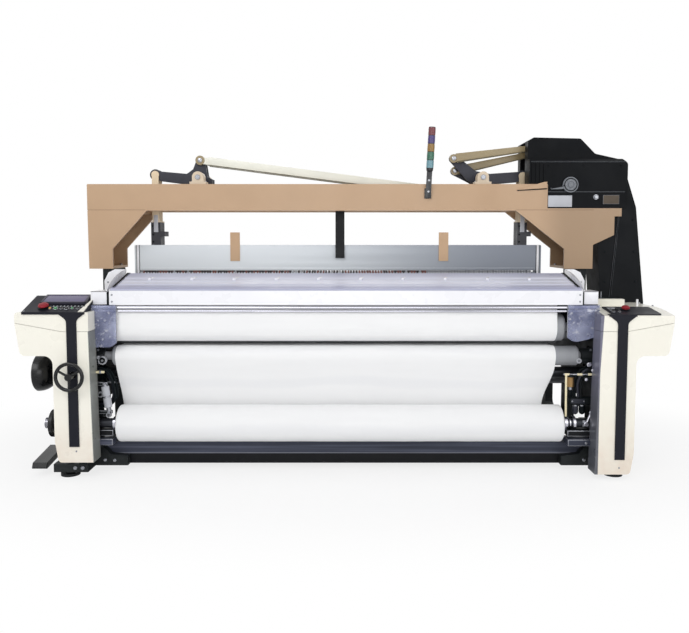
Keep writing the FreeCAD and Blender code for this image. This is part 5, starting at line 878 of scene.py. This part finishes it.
def front_details():
    """Screws on the fascia's ends, stays' bolts, roller bearings and small fittings at both sides."""
    shape = Shape()
    for side, edge in ((LEFT, -1209), (RIGHT, 1224)):
        shape.bolts(zinc, [edge - side * 14], [-728], (900, 935), FORWARD, 5)
        shape.bolts(zinc, [side * 1262], [-720.5], (852, 868), FORWARD, 6)
        for y, z in ((-642, 760), (-648, 608)):
            start = 1240 if side == RIGHT and z < 700 else 1258
            shape.turned(casting, "X", (y, z), drum(*mirrored(side, start, 1303), 40, 3, 22.6), 32)
            for spot in around((y, z), 48, 4, math.pi / 4):
                shape.rod(casting, (side * 1303, *spot), (side * 1288, *spot), 11, 18)
                shape.bolt(zinc, (side * 1288, *spot), (-side, 0, 0), 8)
        shape.bolts(zinc, [side * 1311.5], [-770], (170, 420, 470), (-side, 0, 0), 9)
    # left: ivory rod, grey cylinder with its rod and clevises
    # right: ivory bar under a cross rod with sleeves, brass block, steel lever and knobs
    for rod in (
            (ivory, (-1312, -742, 537), (-1238, -742, 537), 6.5),
            (rail_black, (-1312, -742, 537), (-1292, -742, 537), 12),
            (zinc, (-1262, -742, 537), (-1252, -742, 537), 10),
            (light_grey, (-1246, -712, 458), (-1230, -712, 345), 20, 28, 4),
            (zinc, (-1247, -712, 470), (-1244.5, -712, 452), 13, 20, 2),
            (zinc, (-1230.5, -712, 350), (-1227, -712, 322), 12, 20, 2),
            (zinc, (-1239, -712, 408), (-1237.4, -712, 398), 21.5, 28, 1),
            (zinc, (-1270, -736, 612), (-1270, -664, 612), 9),
            (ivory, (1151, -722, 300), (1149, -722, 518), 5.5),
            (zinc, (1134, -722, 521), (1312, -722, 521), 4.5),
            (brass, (1172, -722, 456), (1172, -722, 508), 19, 24, 3),
            (casting, (1172, -722, 502), (1172, -722, 522), 12, 20, 2),
            (zinc, (1172, -722, 440), (1172, -722, 460), 9, 20, 2),
            (chrome, (1257, -722, 259), (1285, -722, 322), 6.5, 18, 2),
            (chrome, (1257, -732, 259), (1257, -712, 259), 13, 22, 3),
            (chrome, (1285, -732, 322), (1285, -712, 322), 13, 22, 3)):
        shape.rod(*rod)
    for x in (1140, 1206, 1262):
        shape.rod(ivory, (x, -722, 521), (x + 26, -722, 521), 6.5)
    for x, z, radius in ((1261, 575, 12), (1248, 497, 9), (1280, 545, 8)):
        shape.rod(chrome, (x, -744, z), (x, -728, z), radius, 22, 3)
        shape.rod(casting, (x, -728, z), (x, -640, z), radius * 0.6, 16)
        shape.box(casting, (x - 8, 1312), (-656, -640), (z - 8, z + 8), 3)
    for z, x in ((470, -1247), (322, -1227)):
        shape.box(casting, (-1312, x + 16), (-722, -702), (z - 9, z + 9), 3)
        shape.bolt(zinc, (x, -722, z), FORWARD, 8)
    shape.box(casting, (-1312, -1252), (-664, -640), (250, 290), 4)
    shape.box(casting, (1244, 1312), (-712, -640), (240, 276), 4)
    for z, front in (((150, 184), -748), ((198, 228), -736)):
        shape.box(rail_black, (1158, 1312), (front, -660), z, 3)
        shape.box(rail_black, (-1312, -1206), (front + 14, -660), z, 3)
    for x, y, z, size in ((1252, -748, 166, 7), (-1262, -690, 59, 9), (-1212, -690, 57, 9),
                          (1262, -690, 59, 9), (-1378, -800, 52, 10), (-1340, -800, 52, 10)):
        shape.bolt(zinc, (x, y, z), FORWARD, size)
    shape.made("front_fittings", FRAME, "bright_steel")


def pipe_runs():
    """Oil pipes, a distributor with two bowls and small valves on the inner faces of the side frames."""
    shape = Shape()
    for x, y, foot, finish in ((-1210, -684, 352, strip_black), (-1222, -668, 358, slate),
                               (-1203, -662, 364, strip_black)):
        shape.pipe(finish, ((-1311, y, 545), (x - 30, y, 528), (x, y, 450), (x + 3, y, foot + 30),
                            (x - 30, y, foot), (-1311, y, foot - 8)), 7.5)
    shape.rod(zinc, (-1311, -672, 470), (-1206, -672, 470), 5, 14)
    for x, y, top, bend, finish in ((1212, -664, 552, 536, strip_black), (1229, -668, 544, 530, slate),
                                    (1246, -662, 536, 524, casting), (1196, -652, 528, 518, strip_black)):
        spots = ((1311, y, top), (x + 34, y, bend), (x, y, 470), (x + 2, y, 400), (x, y, 388))
        shape.pipe(finish, spots, 7.5)
    shape.box(casting, (1182, 1311), (-680, -642), (352, 390), 4)
    shape.box(slate, (1190, 1264), (-684, -678), (357, 385), 2)
    shape.bolts(zinc, (1196, 1258), [-684], [371], FORWARD, 4.5)
    for x, finish in ((1219, slate), (1255, strip_black)):
        shape.turned(finish, "Z", (x, -661), [(354, 0), (354, 15), (350, 16.5), (312, 16.5), (302, 13),
                                              (297, 6), (295, 0)], 28)
        shape.turned(zinc, "Z", (x, -661), drum(349, 343, 17.6, bore=16), 28)
    for side, x, z, radius in ((LEFT, -1262, 590, 22), (LEFT, -1236, 300, 13),
                               (LEFT, -1276, 410, 15), (RIGHT, 1222, 588, 13)):
        shape.turned(light_grey, "Y", (x, z), [(-700, radius - 6), (-700, radius), (-692, radius + 1),
                                               (-684, radius), (-684, radius - 6), (-700, radius - 6)], 28)
        shape.turned(casting, "Y", (x, z), drum(-697, -686, radius - 5.6), 28)
        shape.bolt(zinc, (x, -697, z), FORWARD, radius * 0.4)
        shape.box(casting, sorted((x, side * 1311)), (-690, -680), (z - 7, z + 7), 2)
    shape.made("side_pipes", FRAME, "frame_black")


def roll_couplings():
    """Shaft of the cloth roll with its couplings, end wheel and gripped knob."""
    shape = Shape()
    shape.turned(dish_black, "X", ROLL_PLACE, drum(-1362, 1360, 24.95), 40)
    shape.turned(wheel_black, "X", ROLL_PLACE, [
        (-1572, 0), (-1572, 20), (-1566, 27), (-1552, 27), (-1548, 20), (-1540, 20), (-1539, 60), (-1533, 72),
        (-1516, 72), (-1510, 66), (-1512, 30), (-1490, 30), (-1486, 25), (-1361, 25), (-1361, 0)], 48)
    for low, high, radius in ((1150, 1168, 36), (1176, 1186, 30), (1194, 1210, 38), (-1212, -1196, 34)):
        shape.turned(chrome, "X", ROLL_PLACE, drum(low, high, radius, 2, 25), 28)
    for x in (-1568, -1561, -1554):
        shape.turned(chrome, "X", ROLL_PLACE, drum(x, x + 3, 28.4, bore=26), 32)
    item = shape.made("roll_shaft_and_wheel", "cloth_take", "polished_bar")
    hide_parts("cloth_roll_shaft")


def hand_disc():
    """Main shaft with the deep bowl of the hand disc on its left end."""
    shape = Shape()
    place = (-500, 492)
    rim, depth = -1676, 86
    quarter = [(math.sin(step * math.pi / 20), math.cos(step * math.pi / 20)) for step in range(11)]
    profile = [(-1699, 0), (-1699, 18), (-1694, 24)]
    profile += [(rim - 2 + (depth - 10) * deep, 26 + 70 * wide) for deep, wide in quarter[::-1]]
    profile += [(rim - 5, 100)] + [(rim + depth * deep, 42 + 62 * wide) for deep, wide in quarter]
    profile += [(-1572, 42), (-1568, 38), (-1568, 30), (-1480, 30), (-1480, 0)]
    shape.turned(wheel_black, "X", place, profile, 56)
    shaft = [(-1482, 0), (-1482, 29.95), (1436, 29.95), (1440, 26), (1440, 0)]
    shape.turned(dish_black, "X", place, shaft, 40)
    item = shape.made("main_shaft_and_disc", "main_drive", "frame_black")
    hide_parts("main_shaft")


def end_shields():
    """White sheet shields between the splash cover's ends and the side frames."""
    shape = Shape()
    for side, inner in ((LEFT, 1226), (RIGHT, 1236)):
        shape.prism(fascia_white, "X", [
            (-706, 962), (-672, 985), (-620, 1006), (-560, 1024), (-480, 1041), (-378, 1052), (-378, 884),
            (-584, 884), (-584, 951), (-706, 951)], mirrored(side, inner, inner + 3), 0.8)
        face = ((inner, 884), (1350, 884), (1350, 988), (1326, 1034), (1290, 1052), (inner, 1052))
        shape.prism(fascia_white, "Y", [(side * x, z) for x, z in face], (-381, -378), 0.8)
        for y, z in (((-706.5, -702.5), (884, 951.5)), ((-706.5, -586), (947.6, 951.5))):
            shape.box(fascia_white, mirrored(side, inner + 3, 1311), y, z, 0.8)
        shape.bolts(zinc, [side * 1330], [-381], (904, 980), FORWARD, 5)
        shape.box(strip_black, mirrored(side, inner - 2, inner + 5), (-708, -660), (948, 952), 0.6)
    shape.made("end_shields", FRAME, "fascia_white")


def clear_guards():
    """Clear sheets that bulge before the rollers' ends, with rolled edges and screws."""
    shape = Shape()
    cells = 12
    across = cells + 1
    sheet = across * across
    for side, edge, low, rise in ((LEFT, 1172, 664, 0), (RIGHT, 1146, 690, 36)):
        points = []
        for number in range(2 * sheet):
            u, v = number % across / cells, number % sheet // across / cells
            bottom = low + rise * u * u + (26 * (1 - u * 3) ** 2 if u < 1 / 3 else 0)
            x, z = side * (edge + (1311 - edge) * u), bottom + (882 - bottom) * v
            bulge = 11 * math.sin(math.pi * u) * math.sin(math.pi * min(1, v * 1.1) * 0.9)
            ripple = 2.4 * noise.noise(Vector((x * 0.03, z * 0.03, side * 4)))
            points.append((x, -733 - bulge - ripple + 2.5 * (number // sheet), z))
        faces = []
        for a in [j * across + i for j in range(cells) for i in range(cells)]:
            faces.append((a, a + 1, a + across + 1, a + across))
            faces.append((sheet + a, sheet + a + across, sheet + a + across + 1, sheet + a + 1))
        rim = [*range(cells), *range(cells, sheet - 1, across), *range(sheet - 1, sheet - across, -1),
               *range(sheet - across, 0, -across)]
        faces += [(a, b, sheet + b, sheet + a) for a, b in zip(rim, rim[1:] + rim[:1])]
        shape.patch(glass, points, faces)
        shape.rod(zinc, (side * (edge + 1), -731.5, low + 26), (side * (edge + 1), -731.5, 882), 2.2, 10)
        shape.bolts(zinc, [side * 1302], [-734], (716, 862), FORWARD, 6)
        for z in (716, 862):
            shape.rod(zinc, (side * 1302, -733, z), (side * 1302, -700, z), 5)
            shape.box(zinc, mirrored(side, 1296, 1312), (-704, -692), (z - 8, z + 8), 1)
    item = shape.made("clear_guards", FRAME, "guard_clear")
    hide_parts("side_guards")


splash_details()
front_details()
pipe_runs()
roll_couplings()
hand_disc()
end_shields()
clear_guards()


# ---------------------------------------------------------------- columns
def column_details():
    """Screws, the cabinet's lid and pins on the right cover."""
    shape = Shape(cream)
    for x, z in ((-1358, 148), (1393, 62)):
        shape.bolt(zinc, (x, -830, z), FORWARD, 4.5)
    for side, top in ((LEFT, 855), (RIGHT, 866)):
        shape.bolts(zinc, [side * 1640], (-600, -430), [top], UPWARD, 6)
        shape.bolts(strip_black, [side * 1466], [-612], (370, 470), (side, 0, 0), 5)
    shape.box(strip_black, (1292, 1488), (-572, -463), (899.5, 903), 1)
    shape.rod(zinc, (1378, -560, 901), (1378, -560, 940), 2.5, 12)
    shape.rod(fascia_white, (1557, -600, 865), (1557, -600, 902), 6, 16, 2)
    shape.made("column_details", FRAME, "cover_cream")


column_details()


# ---------------------------------------------------------------- gantry and shedding motion
HUB_XS = (-819, 774)
LEFT_PIN, LOW_PIN, TOP_PINS = (-827, 1671), (782, 1466), {"a": (626, 1682), "b": (642, 1616)}
DOBBY_PINS = {"a": (1101, 1744), "b": (1101, 1716)}


def gantry_details():
    """Bolts, end caps, joint lines and the sloping plate on the front beam."""
    seam = paint("seam_brown", (122, 94, 70), 0.6, coat=0)
    shape = Shape(tan)
    shape.bolts(zinc, (-1410, -1330, 1255, 1370), (-352, -140), [1069], UPWARD, 9)
    for hub_x in HUB_XS:
        shape.bolts(zinc, (hub_x - 38, hub_x + 38), (-340, -128), [1541], UPWARD, 7)
    shape.box(tan, (-1435.8, -1433.8), (-372, -308), (1390, 1518), 0.5)
    for x in ((-1436, -1112), (958, 1392)):
        shape.box(seam, x, (-380.5, -379.4), (1382.6, 1384.8), 0.2)
    # plate over the beam's end, rising towards the dobby
    shape.prism(tan, "Y", [(962, 1494), (1128, 1504), (1128, 1540), (1110, 1538)], (-386, -379.5), 0.8)
    shape.prism(strip_black, "Y", [(962, 1489), (1128, 1498), (1128, 1504), (962, 1494)], (-384, -379.8))
    shape.bolts(zinc, [-48], [-300], (1398, 1420), (0, 1, 0), 6)
    shape.made("gantry_details", FRAME, "gantry_tan")


def pin_heads(name, body, front, places):
    """Turned heads on the pins of a lever."""
    shape = Shape()
    for place in places:
        shape.turned(zinc, "Y", place, [(front - 5, 0), (front - 5, 8), (front - 3, 13), (front + 2, 13),
                                        (front + 2, 0)], 20)
    shape.made(name, body, "bright_steel")


def rod_sleeve(name, body, slot, finish, y, shares, halves, start, end):
    """Sleeve over a rod between two pins, wider at its start, with a shaded lower edge."""
    length = math.dist(start, end)
    dx, dz = (end[0] - start[0]) / length, (end[1] - start[1]) / length
    shape = Shape()
    for part, low, high, face in ((finish, -0.7, 1, y - 26.5), (rod_shade, -1, -0.7, y - 25.3)):
        outline = []
        for number, rise in ((0, low), (1, low), (1, high), (0, high)):
            run, out = shares[number] * length, rise * halves[number]
            outline.append((start[0] + dx * run - dz * out, start[1] + dz * run + dx * out))
        shape.prism(part, "Y", outline, (face, y - 8.4), 1.2)
    shape.made(name, body, slot)


def lever_details():
    """Caps on the lever shafts, pins of every crank and sleeves over the rods."""
    shape = Shape()
    for hub_x in HUB_XS:
        shape.turned(zinc, "Y", (hub_x, 1566), [(-379.5, 0), (-379.5, 11), (-377, 14), (-371.5, 14),
                                                (-371.5, 0)], 24)
    shape.made("shaft_caps", FRAME, "bright_steel")
    for letter, y in HEALD_SET_Y.items():
        pin_heads(f"left_pin_head_{letter}", f"left_lever_{letter}", y - 26, [LEFT_PIN])
        pin_heads(f"right_pin_head_{letter}", f"right_lever_{letter}", y - 26, [TOP_PINS[letter], LOW_PIN])
    for letter, y in HEALD_SET_Y.items():
        rod_sleeve(f"long_rod_sleeve_{letter}", f"cross_rod_{letter}", "rod_pale", rod_pale, y,
                   (0.03, 0.93), (25, 25), LEFT_PIN, LOW_PIN)
    for letter, y in HEALD_SET_Y.items():
        rod_sleeve(f"dobby_rod_sleeve_{letter}", f"drive_rod_{letter}", "rod_olive", olive, y,
                   (0.03, 0.88), (26, 17), TOP_PINS[letter], DOBBY_PINS[letter])
    shape = Shape()
    shape.turned(olive, "Y", LEFT_PIN, [(-263.6, 14), (-263.6, 25), (-262, 27), (-246, 27), (-244.6, 25),
                                        (-244.6, 14)], 28)
    shape.made("rod_collar_a", "cross_rod_a", "rod_pale")


def heald_details():
    """White end strut covers, clamp bolts and light plates on the lifting links."""
    for number in range(4):
        y = -250 + 24 * number
        shape = Shape(fascia_white)
        if number == 0:
            for x in ((-1202, -1186), (1109, 1125)):
                shape.box(fascia_white, x, (y - 7.6, y - 4.8), (1004, 1186), 0.8)
                for edge in x:
                    shape.box(strip_black, (edge - 1.2, edge + 1.2), (y - 8.4, y - 5), (1004, 1186))
            shape.box(heald, (-1186, 1109), (y - 6.2, y - 5), (1040, 1056), 0.4)
        for x in (-1088, 1024):
            shape.bolts(strip_black, [x - 16], [y - 7], (1206, 1248, 1296), FORWARD, 5.5)
            shape.box(light_grey, (x - 11, x + 13), (y - 9, y - 6.8), (1262, 1360), 0.8)
        body = "heald_set_a" if number < 2 else "heald_set_b"
        shape.made(f"heald_fittings_{number + 1}", body, "heald_aluminium")


gantry_details()
lever_details()
heald_details()


# ---------------------------------------------------------------- dobby, belt cover, signal tower
def dobby_details():
    """Cap ring, bare plates, bolts and seams on the dobby and belt cover."""
    grey = paint("cap_grey", (112, 116, 122), 0.4, coat=0.1, vary=0.2)
    shape = Shape()
    face = -380
    cap, cap_y = (1257, 1523), -389
    shape.turned(grey, "Y", cap, [(cap_y - 3, 37), (cap_y - 3, 42), (cap_y + 3, 44), (cap_y + 3, 35),
                                  (cap_y - 3, 37)], 40)
    shape.turned(grey, "Y", cap, [(cap_y - 1, 34), (cap_y - 3.5, 31), (cap_y - 4.5, 16), (cap_y - 8, 14),
                                  (cap_y - 9, 0)], 40)
    for (x, z), (end_x, end_z) in zip(around(cap, 17, 6, 0.3), around(cap, 31, 6, 0.3)):
        shape.rod(grey, (x, cap_y - 3.6, z), (end_x, cap_y - 2.6, end_z), 2.2, 8)
    shape.prism(grey, "Y", [(1226, 1512), (1230, 1500), (1152, 1497), (1146, 1504), (1152, 1510)],
                (cap_y - 1, face + 0.5), 1.5)
    for finish, x, front, z, bevel in (
            (plate_grey, (1135, 1269), 2.2, (1400, 1464), 0.8),
            (mesh_brown, (1441, 1531), 4, (1416, 1466), 1.5),
            (dobby_black, (1040, 1560), 2, (1648, 1653), 0.8),
            (dobby_black, (1135, 1562), 2, (1482, 1486), 0.8)):
        shape.box(finish, x, (face - front, face + 0.5), z, bevel)
    shape.bolt(zinc, (1402, face, 1455), FORWARD, 15)
    for spot in ((1140, 1460), (1264, 1460), (1140, 1405), (1264, 1405)):
        shape.turned(zinc, "Y", spot, [(face - 4, 0), (face - 3.4, 2.6), (face - 2, 3), (face - 2, 0)], 12)
    shape.bolts(dobby_black, (1135, 1330, 1540), [face], [1630], FORWARD, 6)
    for z in (1330, 1150, 980, 700):
        for x in (1470 + (1330 - z) * 0.02, 1622 + (1400 - z) * 0.07):
            shape.bolt(strip_black, (x, -340, z), FORWARD, 6)
    shape.prism(dobby_black, "Y", [(1500, 860), (1512, 860), (1552, 1380), (1546, 1380)], (-344, -339), 0.8)
    shape.made("dobby_details", FRAME, "dobby_black")


def signal_lamps():
    """Signal tower: plate, dark tilted pole and five coloured lenses with caps between them."""
    tilt, base, top = 3, 1450, 1838
    lenses = []
    for name, colour in (("clear", (112, 160, 172)), ("green", (36, 106, 80)), ("amber", (152, 114, 44)),
                         ("violet", (62, 44, 118)), ("red", (116, 34, 44))):
        lens = Finish(f"lens_{name}", colour, 0.2, coat=0.5).set("Transmission Weight", 0.15)
        lenses.append(lens.vary(0.25, 30, (1, 1, 3)).raised(lens.waves(0.005, "Z"), 0.0006))
    pole = Finish("tower_pole", (36, 38, 42), 0.35, coat=0.2).vary(0.2, 20).uneven(0.1)
    shape = Shape()
    shape.box(pole, (445.1, 482.9), (-386, -380), (1446, 1502), 1.5)
    shape.bolts(zinc, [462], [-386], (1458, 1486), FORWARD, 6)
    shape.placed((464, -393, base), tilt, "Y")
    low = (top - base) / math.cos(math.radians(tilt)) - 45 * len(lenses)
    shape.box(pole, (-15, 15), (-5, 5), (0, low - 16), 1.5)
    shape.turned(pole, "Z", (0, 0), [(low - 18, 0), (low - 18, 14), (low - 14, 18), (low, 20), (low, 0)], 28)
    for height in (34, 96):
        shape.turned(zinc, "Y", (0, height), [(-5.6, 0), (-5.6, 4.5), (-5.2, 6), (-4.8, 6), (-4.8, 0)], 18)
    for start, lens in zip(along(low, 45, 5), lenses):
        end = start + 41
        glass_body = [(start, 0), (start, 20), (start + 20, 20.5), (end, 20), (end, 0)]
        shape.turned(lens, "Z", (0, 0), glass_body, 32)
        shape.turned(pole, "Z", (0, 0), drum(end, end + 3.8, 18.4), 32)
    item = shape.made("signal_lamps", FRAME, "tower_lens")
    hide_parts("signal_tower")


dobby_details()
signal_lamps()


# ---------------------------------------------------------------- back and sides
def back_details():
    """Bearing caps on the side frames, drive guard bolts, motor cowl grille and terminal box."""
    shape = Shape()
    for side in (LEFT, RIGHT):
        low, high = mirrored(side, 1360, 1374)
        for spot, radius in (((500, 440), 30), ((720, 887), 22), ((-330, 430), 35)):
            shape.turned(casting, "X", spot, [(low, 0), (low, radius + 26), (high - 3, radius + 26),
                                              (high, radius + 22), (high, 0)], 36)
            for y, z in around(spot, radius + 14, 6):
                shape.bolt(zinc, (side * 1374, y, z), (side, 0, 0), 6.5)
        for y, z in ((-700, 120), (680, 120), (680, 560), (-420, 120)):
            shape.bolt(zinc, (side * 1360, y, z), (side, 0, 0), 9)
    shape.box(motor, (1430, 1520), (-60, 40), (668, 712), 4)
    shape.bolts(zinc, (1440, 1510), (-50, 30), [712], UPWARD, 4)
    centre = (-10, 590)
    for start, end in zip(around(centre, 22, 24), around(centre, 62, 24)):
        shape.rod(strip_black, (1603.5, *start), (1603.5, *end), 1.8, 6)
    shape.made("back_details", FRAME, "frame_black")


back_details()


# ---------------------------------------------------------------- floor, light and camera
def studio_floor():
    """White floor that turns into plain white for the camera away from the loom."""
    floor_grey = 246.987  # 0.93 in linear light
    white = Finish("floor_white", (floor_grey, floor_grey, floor_grey), 0.9).vary(0.02, 1)
    glow = white.node("ShaderNodeEmission", {"Color": (1, 1, 1, 1), "Strength": 1})
    across = white.axis("X").math("DIVIDE", 2.3)
    deep = (white.axis("Y") + 0.2).math("DIVIDE", 1.25)
    far = (across * across + deep * deep).math("SQRT")
    share = white.field("ShaderNodeLightPath", "Is Camera Ray") * far.remap(0.75, 1.35, 0.78, 1)
    blend = white.node("ShaderNodeMixShader", {0: share, 1: white.shader.outputs[0], 2: glow.outputs[0]})
    white.feed(white.tree.nodes["Material Output"].inputs["Surface"], blend.outputs[0])
    mesh = bpy.data.meshes.new("floor")
    size = 60
    corners = [(-size, -size, 0), (size, -size, 0), (size, size, 0), (-size, size, 0)]
    mesh.from_pydata(corners, [], [(0, 1, 2, 3)])
    mesh.materials.append(white.material)
    floor = bpy.data.objects.new("floor", mesh)
    bpy.context.scene.collection.objects.link(floor)


def studio_world():
    """Soft white surroundings, plain white to the camera and in reflections."""
    world = bpy.data.worlds.new("studio")
    bpy.context.scene.world = world
    world.use_nodes = True
    nodes, links = world.node_tree.nodes, world.node_tree.links
    nodes.clear()
    output = nodes.new("ShaderNodeOutputWorld")
    mixer = nodes.new("ShaderNodeMixShader")
    ray = nodes.new("ShaderNodeLightPath")
    bright = nodes.new("ShaderNodeMath")
    bright.operation = "MAXIMUM"
    links.new(ray.outputs["Is Camera Ray"], bright.inputs[0])
    links.new(ray.outputs["Is Glossy Ray"], bright.inputs[1])
    links.new(bright.outputs[0], mixer.inputs[0])
    for slot, colour, strength in ((1, (0.97, 0.98, 1, 1), 0.55), (2, (1, 1, 1, 1), 1)):
        background = nodes.new("ShaderNodeBackground")
        background.inputs["Color"].default_value = colour
        background.inputs["Strength"].default_value = strength
        links.new(background.outputs[0], mixer.inputs[slot])
    links.new(mixer.outputs[0], output.inputs["Surface"])


def studio_lamps():
    for name, place, target, size, power in (
            ("key", (-2.6, -5.2, 4.6), (0, -0.4, 0.8), 3.4, 112),
            ("front", (0, -6.4, 1.5), (0, -0.5, 0.8), 2.4, 34),
            ("fill", (3.4, -5, 2.6), (0.2, -0.4, 0.7), 3.4, 54),
            ("back", (0.5, 4.6, 4.4), (0, 0.3, 0.9), 4, 110)):
        lamp = bpy.data.lights.new(name, "AREA")
        lamp.size = size
        lamp.energy = power
        item = bpy.data.objects.new(name, lamp)
        item.location = place
        item.rotation_euler = (Vector(target) - Vector(place)).to_track_quat("-Z", "Y").to_euler()
        bpy.context.scene.collection.objects.link(item)


def studio_camera():
    """Camera matched to the photo, 689 pixels wide, with a focal length of 700 pixels."""
    photo_width = 689
    data = bpy.data.cameras.new("camera")
    data.sensor_width = 36
    data.lens = 700 / photo_width * 36
    data.shift_y = -27.55 / photo_width
    data.clip_end = 200
    camera = bpy.data.objects.new("camera", data)
    camera.location = (0, -4.310, 1.216)
    camera.rotation_euler = (math.radians(86), 0, 0)
    bpy.context.scene.collection.objects.link(camera)
    bpy.context.scene.camera = camera
    bpy.context.scene.view_settings.view_transform = "Standard"


studio_floor()
studio_world()
studio_lamps()
studio_camera()
